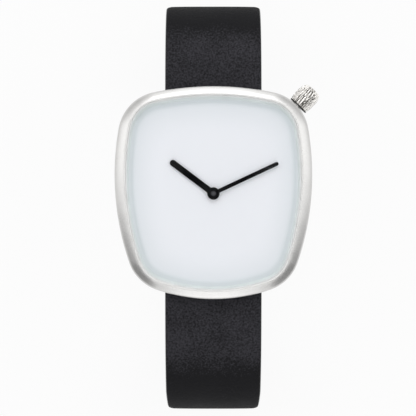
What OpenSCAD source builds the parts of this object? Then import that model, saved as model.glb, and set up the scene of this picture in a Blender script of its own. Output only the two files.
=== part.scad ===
// Two-hand quartz wristwatch with a pebble-shaped steel case, standing dial up on its leather strap.
// The origin is on the floor under the hand axis. +Z runs up out of the dial and +Y towards 12 o'clock.

/* [Case] */
// Distance from the hand axis to the top of the case outline
case_top = 19.9; // [19.4:0.1:21]
// Radii of the outline from the top centre round to the lower corner
case_radii = [53, 8.2, 50, 8.1]; // [7:0.1:60]
// Sweep of each of those arcs in degrees
case_sweeps = [12.2, 67.8, 28.9, 51.7]; // [10:0.1:70]
// Height of the case body
body_h = 6.3; // [6.2:0.1:6.8]
// How far the back plate stands out of the case body
back_proud = 0.6; // [0.5:0.05:0.7]
// How far the underside draws in from the widest outline
belly_in = 3.2; // [2.6:0.1:3.4]
// Height of the widest outline above the back
belly_z = 5.9; // [5.6:0.1:6.1]
// Fullness of the shoulder's curve, 2 for an ellipse
shoulder_full = 2; // [1.6:0.1:2.4]
// Width of the rim at the sides
rim_side = 2.1; // [1.95:0.05:2.25]
// Width of the rim at 12 and 6 o'clock
rim_end = 1.75; // [1.6:0.05:1.85]
// Width of the polished bevel inside the rim
bevel = 0.35; // [0.2:0.05:0.4]
// Drop of that bevel
bevel_drop = 0.2; // [0.15:0.05:0.3]
// Radius of the round cavity for the movement
cavity_r = 12; // [11.9:0.05:12.2]
// Height of the dial shelf above the back
shelf_z = 4.9; // [4.85:0.05:5]

/* [Crystal and dial] */
// Thickness of the gasket round the crystal
gasket_t = 0.3; // [0.2:0.05:0.35]
// Height of the crystal's crown above the rim
crystal_rise = 1.05; // [0.8:0.05:1.4]
// Thickness of the crystal in the middle
crystal_t = 1.2; // [1:0.05:1.3]
// Thickness of the dial
dial_t = 0.4; // [0.3:0.05:0.45]
// Width of the ring between dial and crystal
ring_w = 0.5; // [0.4:0.05:0.8]

/* [Hands] */
// Length of the hour hand from the axis to its tip
hour_len = 9.95; // [8:0.05:11]
// Width of the hour hand
hour_w = 1.15; // [0.7:0.05:1.2]
// Length of the minute hand from the axis to its tip
minute_len = 13.25; // [11:0.05:13.6]
// Width of the minute hand
minute_w = 0.72; // [0.5:0.02:0.9]
// Thickness of each hand
hand_t = 0.15; // [0.12:0.01:0.18]
// Radius of the boss of each hand
boss_r = 1.15; // [1:0.05:1.3]
// Direction of the hour hand from 3 o'clock
hour_deg = 143; // [0:1:359]
// Direction of the minute hand from 3 o'clock
minute_deg = 25.1; // [0:0.1:359]

/* [Crown and stem] */
// Direction of the crown from 3 o'clock
stem_deg = 46; // [43:0.5:47]
// Height of the stem axis above the back
stem_z = 3.4; // [3.35:0.01:3.45]
// Radius of the stem
stem_r = 0.45; // [0.4:0.01:0.46]
// Distance from the hand axis to the crown's base
crown_x = 22.65; // [22.6:0.05:23]
// Radius of the crown over its ridges
crown_r = 2.1; // [1.9:0.05:2.2]
// Length of the crown
crown_len = 4.3; // [4:0.1:4.5]
// Number of ridges round the crown
crown_ridges = 22; // [16:1:28]
// Radius of the crown tube
tube_r = 1; // [0.9:0.02:1.1]
// Travel of the crown when it is pulled to set the hands
crown_pull = 0.9; // [0.6:0.05:0.95]

/* [Movement] */
// Radius of the main plate
plate_r = 10.4; // [10.35:0.01:10.45]
// Underside of the main plate above the back
plate_z = 2.6; // [2.55:0.01:2.65]
// Thickness of the main plate
plate_t = 1.6; // [1.58:0.01:1.62]
// Underside of the train bridge above the back
bridge_z = 1.25; // [1.15:0.05:1.3]
// Thickness of the train bridge
bridge_t = 0.35; // [0.25:0.01:0.38]
// Tooth module of the motion work
motion_module = 0.1; // [0.098:0.001:0.101]
// Tooth module of the going train
train_module = 0.075; // [0.072:0.001:0.077]
// Thickness of a wheel
wheel_t = 0.15; // [0.1:0.01:0.17]
// Radius of the battery
battery_r = 3.4; // [3.2:0.05:3.4]
// Height of the battery
battery_h = 2.1; // [1.6:0.1:2.2]
// Distance from the hand axis to the battery's centre
battery_at = 6.7; // [6.65:0.05:6.8]

/* [Back] */
// Half width of the back plate
back_w = 14.4; // [14.2:0.1:14.6]
// Half length of the back plate
back_l = 12.9; // [12.8:0.05:13]
// Corner radius of the back plate
back_corner = 5; // [4:0.1:6]
// Thickness of the back plate
back_t = 0.8; // [0.75:0.05:0.9]
// Least distance of its edge from the edge of the case's underside
back_in = 0.5; // [0.4:0.05:0.6]
// Place of each upper back screw, across and along
upper_screw = [12.5, 10.3]; // [10:0.1:12.7]
// Place of each lower back screw
lower_screw = [11.2, -9.3]; // [-9.6:0.1:11.4]

/* [Strap] */
// Strap width at the case
strap_w = 18; // [17:0.5:18.5]
// Strap width at the buckle
strap_end_w = 16; // [14:0.5:16]
// Strap thickness at the case
strap_t = 2.8; // [2.4:0.1:3]
// Strap thickness past the taper
strap_thin_t = 2.1; // [1.8:0.1:2.2]
// Thickness of the lining on the wrist side
lining_t = 0.7; // [0.5:0.05:0.8]
// Length from the case over which the strap keeps its full width
full_len = 24; // [10:1:30]
// Length of the short half from bar to buckle bar
short_len = 75; // [74:0.5:77]
// How much longer the long half is, from bar to tip
long_extra = 40; // [38:0.5:41]
// Reach of the loop on the 12 o'clock side
reach_12 = 36.1; // [35.5:0.1:37]
// Reach of the loop on the 6 o'clock side
reach_6 = 41.8; // [41.5:0.1:43]
// Angle below level at which the strap leaves the case
leave_deg = 8; // [5:0.5:10]
// Bend radius at the top of the short half
short_bend_r = 15; // [13:0.5:17]
// Bend radius above the keepers
keeper_bend_r = 13.4; // [10:0.1:16]
// Angle of the buckle end from upright
end_deg = 35; // [33:0.5:36]
// Straight run that carries the keepers
keeper_run = 20; // [19.5:0.5:21]
// Bend radius of both corners of the long half
long_bend_r = 20; // [18:0.5:21]
// Distance from the tip to the first hole
first_hole = 26; // [20:0.5:28]
// Spacing of the holes
hole_step = 6.5; // [5:0.25:7]
// Number of holes
hole_count = 6; // [4:1:7]
// Radius of a strap hole
hole_r = 0.95; // [0.85:0.05:1.1]

/* [Spring bars] */
// Distance of each spring bar from the hand axis
bar_y = 16.2; // [16.1:0.05:16.3]
// Height of the spring bars above the back
bar_h = 2.2; // [2.15:0.05:2.3]
// Radius of a spring bar
bar_r = 0.75; // [0.6:0.05:0.8]
// Radius of a spring bar's tips
tip_r = 0.4; // [0.3:0.02:0.45]

/* [Buckle] */
// Radius of the buckle's ears, which is also the height of its bar
ear_r = 1.8; // [1.7:0.05:2]
// Width of the stock of the buckle's sides
buckle_side = 1.8; // [1.4:0.1:2.2]
// Thickness of the buckle frame
frame_t = 1.8; // [1.6:0.05:2]
// Distance from the buckle's bar to its far edge
frame_reach = 9.5; // [8.5:0.1:9.8]
// Width of the far bar of the buckle
frame_bar = 2.4; // [2:0.1:3]
// Width of the tongue
tongue_w = 1.7; // [1.4:0.1:1.9]
// Thickness of the tongue
tongue_t = 0.85; // [0.7:0.05:0.9]
// Length of each keeper along the strap
keeper_len = 4.2; // [3.6:0.1:4.4]
// Leather thickness of a keeper
keeper_t = 0.8; // [0.6:0.05:0.9]

/* [Hidden] */

// Clearances
fit_gap = 0.05;      // between a shaft and its hole
loose_gap = 0.1;     // between pieces that are only laid together
keeper_gap = 0.08;   // between a keeper and the strap
slot_gap = 0.3;      // beside the strap in its slot
cut = 0.5;           // how far a cut runs past the face it opens

// Heights above the back plate's outer face
rim_z = back_proud + body_h;
bevel_z = rim_z - bevel_drop;
ring_z = shelf_z + dial_t;
seat_z = ring_z + 0.3;
hour_z = seat_z + 0.05;
minute_z = hour_z + hand_t + 0.2;
plate_top = plate_z + plate_t;
motion_z = plate_top + 0.08;
hour_wheel_z = motion_z + 2 * wheel_t;
crystal_top = rim_z + crystal_rise;

// Strap path as [length, bend in degrees] from each spring bar, and what follows from it
short_out = reach_12 - strap_thin_t / 2 - bar_y;
long_out = reach_6 - strap_thin_t / 2 - bar_y;
short_lead = (short_out - short_bend_r * (1 - sin(leave_deg))) / cos(leave_deg);
long_lead = (long_out - long_bend_r * (1 - sin(leave_deg))) / cos(leave_deg);
short_arc = arc_len(short_bend_r, 90 - leave_deg);
keeper_arc = arc_len(keeper_bend_r, end_deg);
short_down = short_len - short_lead - short_arc - keeper_arc - keeper_run;
short_path = [
    [short_lead, 0], [short_arc, leave_deg - 90], [short_down, 0], [keeper_arc, -end_deg],
    [keeper_run, 0]
];
short_end = place(short_path, short_len);
bar_z = ear_r - short_end[1];
head_z = bar_z - bar_h;
long_arc = arc_len(long_bend_r, 90 - leave_deg);
floor_arc = arc_len(long_bend_r, 90);
long_len = short_len + long_extra;
long_down = bar_z - strap_thin_t / 2 - long_lead * sin(leave_deg)
    - long_bend_r * (cos(leave_deg) + 1);
long_flat = long_len - long_lead - long_arc - long_down - floor_arc;
long_path = [
    [long_lead, 0], [long_arc, leave_deg - 90], [long_down, 0], [floor_arc, -90], [long_flat, 0]
];
buckle_y = bar_y + short_end[0];
taper_len = 30;
buckle_fold_r = 1.35;
case_fold_r = 1.6;
tip_len = 9;
fixed_keeper_at = 4.2;
keeper_space = 0.4;
frame_gap = strap_end_w / 2 + 0.25;
frame_half = frame_gap + buckle_side;
frame_corner = 1.2;
bar_over = 0.2;      // how far a spring bar's barrel stands out of the strap
tip_over = 0.9;      // how far its tips reach into the metal
punch = 6;           // length of a cut through the strap
tongue_slot_len = 7;
tongue_slot_back = 3.6;

// Gear train, in the frame whose X axis is the stem
cannon_teeth = 12;
minute_teeth = 36;
minute_pinion_teeth = 10;
hour_teeth = 40;
setting_teeth = 18;
centre_teeth = 80;
pinion_teeth = 8;
intermediate_teeth = 72;
rotor_module = 0.07;
minute_x = motion_module * (cannon_teeth + minute_teeth) / 2;
hour_module = 2 * minute_x / (minute_pinion_teeth + hour_teeth);
setting_x = minute_x + motion_module * (minute_teeth + setting_teeth) / 2;
intermediate_deg = -60;
intermediate_at = train_module * (centre_teeth + pinion_teeth) / 2 * dir(intermediate_deg);
rotor_deg = -30;
rotor_at = intermediate_at
    + rotor_module * (intermediate_teeth + pinion_teeth) / 2 * dir(rotor_deg);
centre_z = 2.25;
intermediate_z = 1.75;
arbor_r = 0.25;
pipe_r = 0.5;
hour_pipe_r = 0.85;
pivot_r = 0.12;
post_r = 0.2;
coil_y = -7.95;
coil_x = [-3.4, 4];
core_x = [-4.6, 5.2];
core_z = 1.65;
stator_z = 2.05;
stator_t = 0.4;
board_z = 2.4;
board_t = plate_z - board_z;
board_r = 9.7;
board_gap = 0.2;     // between the board and the holder round it
board_bore = 4;
board_low = 1.6;     // where the board ends towards the coil
board_left = -0.7;   // where it ends towards the battery
clutch_x = 6.3;
groove_x = 8.6;
groove_w = 0.6;
lever_arm = 2.4;
lever_t = 0.2;
lever_at = [groove_x + crown_pull / 2, -lever_arm];
yoke_at = [6.2, -3.9];
battery_centre = battery_at * dir(135);
battery_z = 1.25;
clamp_t = 0.15;
clamp_ends = [for (s = [-1, 1]) battery_centre + s * (battery_r + 0.9) * dir(45)];
tube_x = 19;
tube_end = crown_x + 1.4;
crown_well = 1.6;
crown_dome = 0.35;
crown_side = crown_len - crown_dome;
crown_mid = 0.45;    // where its side is widest, as a share of its length
crown_foot = 0.2;    // how much narrower it is at the foot
crown_nose = 0.45;   // how much narrower it is where the domed end starts
crown_well_r = 1.3;
stem_end = crown_x + crown_len - 0.8;
back_screw_at = [for (p = [upper_screw, lower_screw]) for (s = [-1, 1]) [s * p[0], p[1]]];
foot_angles = [75, 215];
foot_r = 9;
foot_pin_r = 0.35;
foot_low = plate_z + 0.4;
bridge_posts = [[-1.6, -4.4], [4.9, -1.9], [0.4, -6]];
post_side_r = 0.6;
screw_r = 0.25;

// Unit vector at an angle
function dir(a) = [cos(a), sin(a)];
// Length of an arc
function arc_len(r, a) = PI * r * a / 180;
// Sum of the first n entries of a list
function total(list, n) = n == 0 ? 0 : list[n - 1] + total(list, n - 1);

// Where a path of straight and bent stretches is after u: [outward, up, heading]
function place(path, u, i = 0, p = [0, 0], h = undef) =
    let (
        start = is_undef(h) ? -leave_deg : h,
        last = i == len(path) - 1,
        step = last ? u : min(u, path[i][0]),
        turn = path[i][1] * step / path[i][0],
        r = path[i][1] == 0 ? 0 : step / (turn * PI / 180),
        to = r == 0 || step == 0 ? p + step * dir(start)
            : p + r * [sin(start + turn) - sin(start), cos(start) - cos(start + turn)]
    )
    last || u <= path[i][0] ? [to[0], to[1], start + turn]
        : place(path, u - path[i][0], i + 1, to, start + turn);

// Stations along a path, close together in its bends and at a rounded tip
function stations(path, from, to, tip = 0) =
    let (
        all = [for (i = [0:len(path) - 1])
            let (
                a = total([for (s = path) s[0]], i),
                n = max(1, ceil(abs(path[i][1]) / 8), ceil(path[i][0] / 10))
            )
            for (k = [0:n - 1]) a + path[i][0] * k / n],
        body = [for (u = all) if (u > from + 0.5 && u < to - tip - 0.5) u]
    )
    tip == 0 ? concat([from], body, [to])
        : concat([from], body, [for (k = [0:7]) to - tip * cos(90 * k / 7)]);

// Right half of the case outline, drawn in by inset, clockwise from the top centre
function half_outline(inset) =
    let (
        steps = [4, 11, 7, 9, 4],
        known = [for (i = [0:3]) case_radii[i] - inset],
        heads = [for (i = [0:4]) total(case_sweeps, i)],
        starts = corner(known, heads),
        radii = concat(known, [starts[4][0] / sin(heads[4])]),
        sweeps = concat(case_sweeps, [180 - heads[4]])
    )
    [for (i = [0:4]) for (k = [0:steps[i] - 1])
        let (h = heads[i] + sweeps[i] * k / steps[i])
        starts[i] + [0, -inset] + radii[i] * [sin(h) - sin(heads[i]), cos(h) - cos(heads[i])]];
function corner(r, h) =
    [for (i = [0:4]) [0, case_top] + sum_arcs(r, h, i)];
function sum_arcs(r, h, n) =
    n == 0 ? [0, 0]
        : sum_arcs(r, h, n - 1) + r[n - 1] * [sin(h[n]) - sin(h[n - 1]), cos(h[n]) - cos(h[n - 1])];

// Whole case outline, counter-clockwise
function case_outline(inset = 0) =
    let (
        half = half_outline(inset),
        n = len(half),
        bottom = [0, outline_bottom() + inset]
    )
    concat([bottom], [for (i = [n - 1:-1:0]) half[i]], [for (i = [1:n - 1]) [-half[i][0], half[i][1]]]);
function outline_bottom() =
    let (
        heads = [for (i = [0:4]) total(case_sweeps, i)],
        p = corner(case_radii, heads)[4]
    )
    p[1] + p[0] / sin(heads[4]) * (-1 - cos(heads[4]));

// Outline of the glass opening, drawn in by inset: the rim is wider at the sides than at the ends
function glass_outline(inset = 0) =
    let (
        bottom = outline_bottom(),
        middle = (case_top + bottom) / 2,
        long = case_top - bottom,
        k = (long - 2 * (rim_end + inset)) / (long - 2 * (rim_side + inset))
    )
    [for (p = case_outline(rim_side + inset)) [p[0], middle + (p[1] - middle) * k]];

function raise(outline, z) = [for (p = outline) [p[0], p[1], z]];
function shrink(outline, k) = [for (p = outline) p * k];

// Solid skin over a stack of rings with equal numbers of points, counter-clockwise seen from its end
module skin(rings) {
    n = len(rings[0]);
    m = len(rings);
    polyhedron(
        points = [for (r = rings) each r],
        faces = concat(
            [[for (j = [0:n - 1]) j], [for (j = [n - 1:-1:0]) (m - 1) * n + j]],
            [for (i = [0:m - 2]) for (j = [0:n - 1]) let (k = (j + 1) % n)
                each [
                    [i * n + j, (i + 1) * n + k, i * n + k],
                    [i * n + j, (i + 1) * n + j, (i + 1) * n + k]
                ]]
        ),
        convexity = 6
    );
}

// Frames of reference
module at_head() translate([0, 0, head_z]) children();
module at_stem() at_head() rotate([0, 0, stem_deg]) children();
module along_stem(x) translate([x, 0, stem_z]) rotate([0, 90, 0]) children();
module at_bar(side) at_head() translate([0, side * bar_y, bar_h]) children();
module at_buckle() translate([0, buckle_y, ear_r]) children();
module at(p) translate([p[0], p[1], 0]) children();
module at_each(list) for (p = list) at(p) children();

// Round pieces
module rod(r, h, z = 0) translate([0, 0, z]) cylinder(r = r, h = h, $fn = 64);
module tube(r, bore, h, z = 0) difference() {
    rod(r, h, z);
    rod(bore, h + 2 * cut, z - cut);
}
module across(r, half_w) translate([-half_w, 0, 0]) rotate([0, 90, 0]) rod(r, 2 * half_w);

// Straight-sided slab of an outline, and the slab between two outlines
module slab(outline, z, h) translate([0, 0, z]) linear_extrude(h) polygon(outline);
module band(outer, inner, z, h) difference() {
    slab(outer, z, h);
    slab(inner, z - cut, h + 2 * cut);
}

// Toothed wheel with one tooth centred on its X axis
module gear(teeth, m, h, z = 0) {
    pitch = 360 / teeth;
    root = m * (teeth / 2 - 1.2);
    tip = m * (teeth / 2 + 0.85);
    translate([0, 0, z]) linear_extrude(h)
        polygon([for (i = [0:teeth - 1]) for (p = [[-0.3, root], [-0.13, tip], [0.13, tip], [0.3, root]])
            p[1] * dir((i + p[0]) * pitch)]);
}

module rounded_plate(half_w, half_l, r, z, h) translate([0, 0, z]) {
    translate([-half_w + r, -half_l, 0]) cube([2 * (half_w - r), 2 * half_l, h]);
    translate([-half_w, -half_l + r, 0]) cube([2 * half_w, 2 * (half_l - r), h]);
    for (x = [-1, 1]) for (y = [-1, 1])
        translate([x * (half_w - r), y * (half_l - r), 0]) rod(r, h);
}

module screw(head_r, head_h, shank_r, length) {
    difference() {
        rod(head_r, head_h);
        translate([-head_r, -head_r * 0.12, -cut]) cube([2 * head_r, head_r * 0.24, cut + head_h * 0.45]);
    }
    rod(shank_r, length - head_h, head_h);
}

// Case: an elliptical underside, and a shoulder that runs from the widest outline to the glass opening
module case_shell() {
    steps = 7;
    outer = case_outline();
    crest = glass_outline(-bevel - 0.06);
    lower = [for (k = [0:steps]) let (a = 90 * k / steps)
        raise(case_outline(belly_in * (1 - sin(a))), back_proud + (belly_z - back_proud) * (1 - cos(a)))];
    upper = [for (k = [1:steps])
        let (a = 90 * k / steps, in = 1 - pow(max(0, cos(a)), 2 / shoulder_full))
        raise((1 - in) * outer + in * crest, belly_z + (rim_z - belly_z) * pow(sin(a), 2 / shoulder_full))];
    skin(concat(lower, upper));
}
module back_shape(gap, z, h) intersection() {
    rounded_plate(back_w + gap, back_l + gap, back_corner, z, h);
    slab(case_outline(belly_in + back_in - gap), z, h);
}
module strap_slot(side) {
    inner = bar_y - case_fold_r - 0.5;
    roof = bar_h + case_fold_r + 0.6;
    outer = case_top + 1;
    half_w = strap_w / 2 + slot_gap;
    profile = [
        [inner, -1], [inner, roof], [bar_y + 0.3, roof], [outer, roof + 0.75], [outer, -1]
    ];
    translate([-half_w, 0, 0]) rotate([90, 0, 90]) linear_extrude(2 * half_w)
        polygon([for (p = profile) [side * p[0], p[1]]]);
}
module case_body() color("silver") at_head() difference() {
    case_shell();
    slab(glass_outline(0), seat_z, rim_z);
    slab(glass_outline(0.5), shelf_z, rim_z);
    skin([raise(glass_outline(0), bevel_z), raise(glass_outline(-2 * bevel), rim_z + bevel_drop)]);
    rod(cavity_r, shelf_z + cut, -cut);
    back_shape(fit_gap, -cut, back_t + cut);
    tube(cavity_r + 0.8, cavity_r + 0.3, back_t + 0.5, 0);
    for (side = [-1, 1]) {
        strap_slot(side);
        translate([0, side * bar_y, bar_h])
            across(tip_r + fit_gap, strap_w / 2 + slot_gap + tip_over + 0.2);
    }
    at_each(back_screw_at) rod(0.5, 3.1);
    rotate([0, 0, stem_deg]) {
        along_stem(cavity_r - 1) rod(stem_r + 0.15, tube_x - cavity_r + 1 + cut);
        along_stem(tube_x) rod(tube_r, tube_end - tube_x);
    }
}

// Crystal: edge rounded into a low dome outside, vaulted inside
module crystal() color([0.85, 0.95, 0.95, 0.4]) at_head() {
    edge = glass_outline(gasket_t);
    dome = [[1, 0], [0.988, 0.45], [0.968, 0.62], [0.93, 0.72], [0.8, 0.84], [0.6, 0.94], [0.3, 1]];
    vault = [[0.915, 0], [0.88, 0.62], [0.8, 0.8], [0.6, 0.92], [0.3, 1]];
    under = crystal_top - crystal_t - seat_z;
    difference() {
        skin(concat([raise(edge, seat_z)],
            [for (p = dome) raise(shrink(edge, p[0]), bevel_z + (crystal_top - bevel_z) * p[1])]));
        skin(concat([raise(shrink(edge, vault[0][0] + 0.002), seat_z - cut)],
            [for (p = vault) raise(shrink(edge, p[0]), seat_z + under * p[1])]));
    }
}
module crystal_gasket() color("dimgray") at_head()
    band(glass_outline(0), glass_outline(gasket_t), seat_z, bevel_z - seat_z - fit_gap);

// Dial, with two feet that go down into the main plate
module dial() color("white") at_head() {
    difference() {
        slab(glass_outline(0.6), shelf_z, dial_t);
        rod(hour_pipe_r + 0.2, dial_t + 2 * cut, shelf_z - cut);
    }
    rotate([0, 0, stem_deg]) for (a = foot_angles) rotate([0, 0, a])
        translate([foot_r, 0, 0]) rod(foot_pin_r, shelf_z + dial_t / 2 - foot_low, foot_low);
}
module dial_ring() color("whitesmoke") at_head()
    band(glass_outline(0.6), glass_outline(0.6 + ring_w), ring_z, seat_z - ring_z);

// Hands: a round-ended bar from behind the boss to the tip
module hand(length, width, z, bore) difference() {
    union() {
        translate([0, -width / 2, z]) cube([length - width / 2, width, hand_t]);
        translate([length - width / 2, 0, 0]) rod(width / 2, hand_t, z);
        rod(boss_r, hand_t, z);
    }
    rod(bore, hand_t + 2 * cut, z - cut);
}
module hour_hand() color("black") at_head() rotate([0, 0, hour_deg])
    hand(hour_len, hour_w, hour_z, hour_pipe_r);
module minute_hand() color("black") at_head() rotate([0, 0, minute_deg]) {
    hand(minute_len, minute_w, minute_z, pipe_r);
    tube(0.8, pipe_r, 0.15, minute_z + hand_t);
}

// Movement frame
module movement_holder() color("ivory") at_stem() difference() {
    rod(cavity_r - loose_gap, shelf_z - back_t - fit_gap, back_t + fit_gap);
    rod(plate_r + fit_gap, plate_top, 0);
    rod(board_r + board_gap, shelf_z + cut, 0);
    along_stem(plate_r - 1) rod(stem_r + 0.3, cavity_r - plate_r + 1 + cut);
}
module main_plate() color("tan") at_stem() difference() {
    union() {
        rod(plate_r, plate_t, plate_z);
        at_each([[minute_x, 0], [setting_x, 0]])
            rod(post_r, hour_wheel_z + wheel_t - plate_top, plate_top);
        at_each(bridge_posts) rod(post_side_r, plate_z - bridge_z - bridge_t, bridge_z + bridge_t);
        at_each(clamp_ends) rod(post_side_r, plate_z - battery_z, battery_z);
        at_each([lever_at, yoke_at]) rod(0.3, 0.3, plate_top);
    }
    rod(arbor_r + fit_gap, plate_t + 2 * cut, plate_z - cut);
    at_each([intermediate_at, rotor_at]) rod(pivot_r + 0.03, 0.1 + cut, plate_z - cut);
    at(battery_centre) rod(battery_r + loose_gap, plate_t + 2 * cut, plate_z - cut);
    translate([clutch_x - 0.4, -1.35, plate_z - cut]) cube([2.1, 2.7, plate_t + 2 * cut]);
    along_stem(4.3) rod(stem_r + fit_gap, 7);
    translate([groove_x - 0.35, -0.3, stem_z]) cube([crown_pull + 0.7, 0.6, 2]);
    for (a = foot_angles) rotate([0, 0, a]) translate([foot_r, 0, 0])
        rod(foot_pin_r + fit_gap, plate_t + 2 * cut, plate_z - cut);
    at_each(bridge_posts) rod(screw_r, 2, bridge_z);
    at_each(clamp_ends) rod(screw_r, 1, battery_z - 0.01);
}

module train_bridge() color("lightsteelblue") at_stem() translate([0, 0, bridge_z]) difference() {
    hull() {
        at_each(bridge_posts) cylinder(r = 0.75, h = bridge_t, $fn = 32);
        at_each([[0, 0], rotor_at]) cylinder(r = 0.7, h = bridge_t, $fn = 32);
    }
    at_each([[0, 0], intermediate_at, rotor_at]) rod(pivot_r + 0.03, bridge_t + 2 * cut, -cut);
    at_each(bridge_posts) rod(screw_r + fit_gap, bridge_t + 2 * cut, -cut);
}
module movement_screws() color("gray") at_stem() {
    translate([0, 0, bridge_z - 0.3]) at_each(bridge_posts) screw(0.55, 0.3, screw_r, 1.8);
    translate([0, 0, battery_z - clamp_t - 0.25]) at_each(clamp_ends) screw(0.5, 0.25, screw_r, 1.2);
}

// Going train and motion work
module centre_wheel() color("gold") at_stem() {
    difference() {
        rotate([0, 0, intermediate_deg]) gear(centre_teeth, train_module, wheel_t, centre_z);
        for (a = [30:60:330]) rotate([0, 0, a]) translate([1.75, 0, 0]) rod(0.55, 1, centre_z - cut);
    }
    rod(arbor_r, minute_z + hand_t + 0.2 - centre_z, centre_z);
    rod(pivot_r, centre_z - bridge_z - 0.05, bridge_z + 0.05);
}
module cannon_pinion() color("silver") at_stem() difference() {
    union() {
        gear(cannon_teeth, motion_module, wheel_t, motion_z);
        rod(pipe_r, minute_z + hand_t + 0.2 - motion_z, motion_z);
    }
    rod(arbor_r, 4, motion_z - cut);
}
module minute_wheel() color("gold") at_stem() translate([minute_x, 0, 0]) difference() {
    union() {
        rotate([0, 0, 180 / minute_teeth]) gear(minute_teeth, motion_module, wheel_t, motion_z);
        gear(minute_pinion_teeth, hour_module, 2 * wheel_t + 0.02, motion_z + wheel_t - 0.02);
    }
    rod(post_r + 0.03, 2, motion_z - cut);
}
module hour_wheel() color("gold") at_stem() difference() {
    union() {
        rotate([0, 0, 180 / hour_teeth]) gear(hour_teeth, hour_module, wheel_t, hour_wheel_z);
        rod(hour_pipe_r, hour_z + hand_t - hour_wheel_z, hour_wheel_z);
    }
    rod(pipe_r + fit_gap, 3, hour_wheel_z - cut);
}
module setting_wheel() color("silver") at_stem() translate([setting_x, 0, 0]) difference() {
    gear(setting_teeth, motion_module, wheel_t, motion_z);
    rod(post_r + 0.03, 2, motion_z - cut);
}
module intermediate_wheel() color("gold") at_stem() at(intermediate_at) {
    rotate([0, 0, rotor_deg]) gear(intermediate_teeth, rotor_module, wheel_t, intermediate_z);
    rotate([0, 0, intermediate_deg + 180 + 180 / pinion_teeth])
        gear(pinion_teeth, train_module, 2 * wheel_t, centre_z - 0.05);
    rod(arbor_r * 0.7, plate_z - 0.05 - intermediate_z, intermediate_z);
    rod(pivot_r, plate_z - bridge_z - 0.02, bridge_z + 0.05);
}
module rotor() color("dimgray") at_stem() at(rotor_at) {
    rotate([0, 0, rotor_deg + 180 + 180 / pinion_teeth])
        gear(pinion_teeth, rotor_module, 0.3, intermediate_z - 0.05);
    rod(0.8, 0.5, stator_z - 0.02);
    rod(pivot_r, plate_z - bridge_z - 0.02, bridge_z + 0.05);
}

// Motor
module stator_arm(p, r, q, s) translate([0, 0, stator_z]) hull() {
    at(p) cylinder(r = r, h = stator_t, $fn = 32);
    at(q) cylinder(r = s, h = stator_t, $fn = 32);
}
module stator() color("slategray") at_stem() difference() {
    union() {
        stator_arm(rotor_at, 1.5, [core_x[1] - 0.6, coil_y + 0.7], 0.8);
        stator_arm(rotor_at + [-0.4, -0.9], 0.6, [core_x[0] + 0.6, coil_y + 0.7], 0.7);
        at(bridge_posts[2]) rod(post_side_r + 0.5, stator_t, stator_z);
    }
    at(rotor_at) rod(1, stator_t + 2 * cut, stator_z - cut);
    at(bridge_posts[2]) rod(post_side_r + fit_gap, stator_t + 2 * cut, stator_z - cut);
    translate([coil_x[0] - 0.1, coil_y - 1.15, stator_z - cut])
        cube([coil_x[1] - coil_x[0] + 0.2, 2.25, stator_t + 2 * cut]);
}
module core_bar() translate([core_x[0], coil_y - 0.4, core_z])
    cube([core_x[1] - core_x[0], 0.8, stator_z - core_z]);
module coil_core() color("slategray") at_stem() {
    core_bar();
    for (x = [core_x[0] + 0.6, core_x[1] - 0.6]) at([x, coil_y + 0.35]) rod(0.55, stator_z - core_z, core_z);
}
module coil_winding() color("chocolate") at_stem() difference() {
    translate([coil_x[0], coil_y, core_z + 0.2]) rotate([0, 90, 0]) rod(0.74, coil_x[1] - coil_x[0]);
    core_bar();
}
module circuit_board() color("seagreen") at_stem() difference() {
    rod(board_r, board_t, board_z);
    rod(board_bore, board_t + 2 * cut, board_z - cut);
    translate([-2 * board_r, board_low - 4 * board_r, board_z - cut])
        cube([4 * board_r, 4 * board_r, board_t + 2 * cut]);
    translate([board_left - 4 * board_r, -board_r, board_z - cut])
        cube([4 * board_r, 4 * board_r, board_t + 2 * cut]);
    rotate([0, 0, foot_angles[0]]) translate([foot_r, 0, 0])
        rod(foot_pin_r + 0.15, board_t + 2 * cut, board_z - cut);
}
module quartz_can() color("silver") at_stem()
    translate([1, 6.4, board_z - 0.6]) rotate([0, 90, 0]) rod(0.6, 4.6);
module clock_chip() color("black") at_stem() translate([5.2, 2.6, board_z - 0.5]) cube([2, 2, 0.5]);
module battery() color("silver") at_stem() translate([0, 0, battery_z]) at(battery_centre) {
    rod(battery_r - 0.6, 0.35);
    rod(battery_r, battery_h - 0.3, 0.3);
}
module battery_clamp() color("silver") at_stem() translate([0, 0, battery_z - clamp_t]) difference() {
    reach = battery_r + 1.5;
    at(battery_centre) rotate([0, 0, 45]) translate([-reach, -0.8, 0]) cube([2 * reach, 1.6, clamp_t]);
    at_each(clamp_ends) rod(screw_r + 0.01, clamp_t + 2 * cut, -cut);
}

// Keyless work
module stem() color("lightgray") at_stem() difference() {
    union() {
        along_stem(5.4) rod(stem_r, stem_end - 5.4);
        along_stem(4.5) rod(stem_r * 0.65, 1);
    }
    along_stem(groove_x - groove_w / 2) tube(stem_r + cut, stem_r - 0.2, groove_w);
}
module clutch_wheel() color("silver") at_stem() difference() {
    union() {
        along_stem(clutch_x) gear(14, 0.13, 0.5);
        along_stem(clutch_x) rod(0.6, 1.5);
        along_stem(clutch_x + 1.05) rod(0.8, 0.45);
    }
    along_stem(clutch_x - cut) rod(stem_r + 0.02, 3);
}
module setting_lever() color("silver") at_stem() {
    low = plate_top + 0.02;
    pin_z = stem_z + stem_r - 0.13;
    difference() {
        translate([0, 0, low]) hull() {
            at(lever_at) cylinder(r = 0.5, h = lever_t, $fn = 32);
            at([groove_x, 0]) cylinder(r = 0.25, h = lever_t, $fn = 32);
        }
        at(lever_at) rod(0.33, 1, low - cut);
    }
    at([groove_x, 0]) rod(0.2, low - pin_z, pin_z);
}
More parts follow.
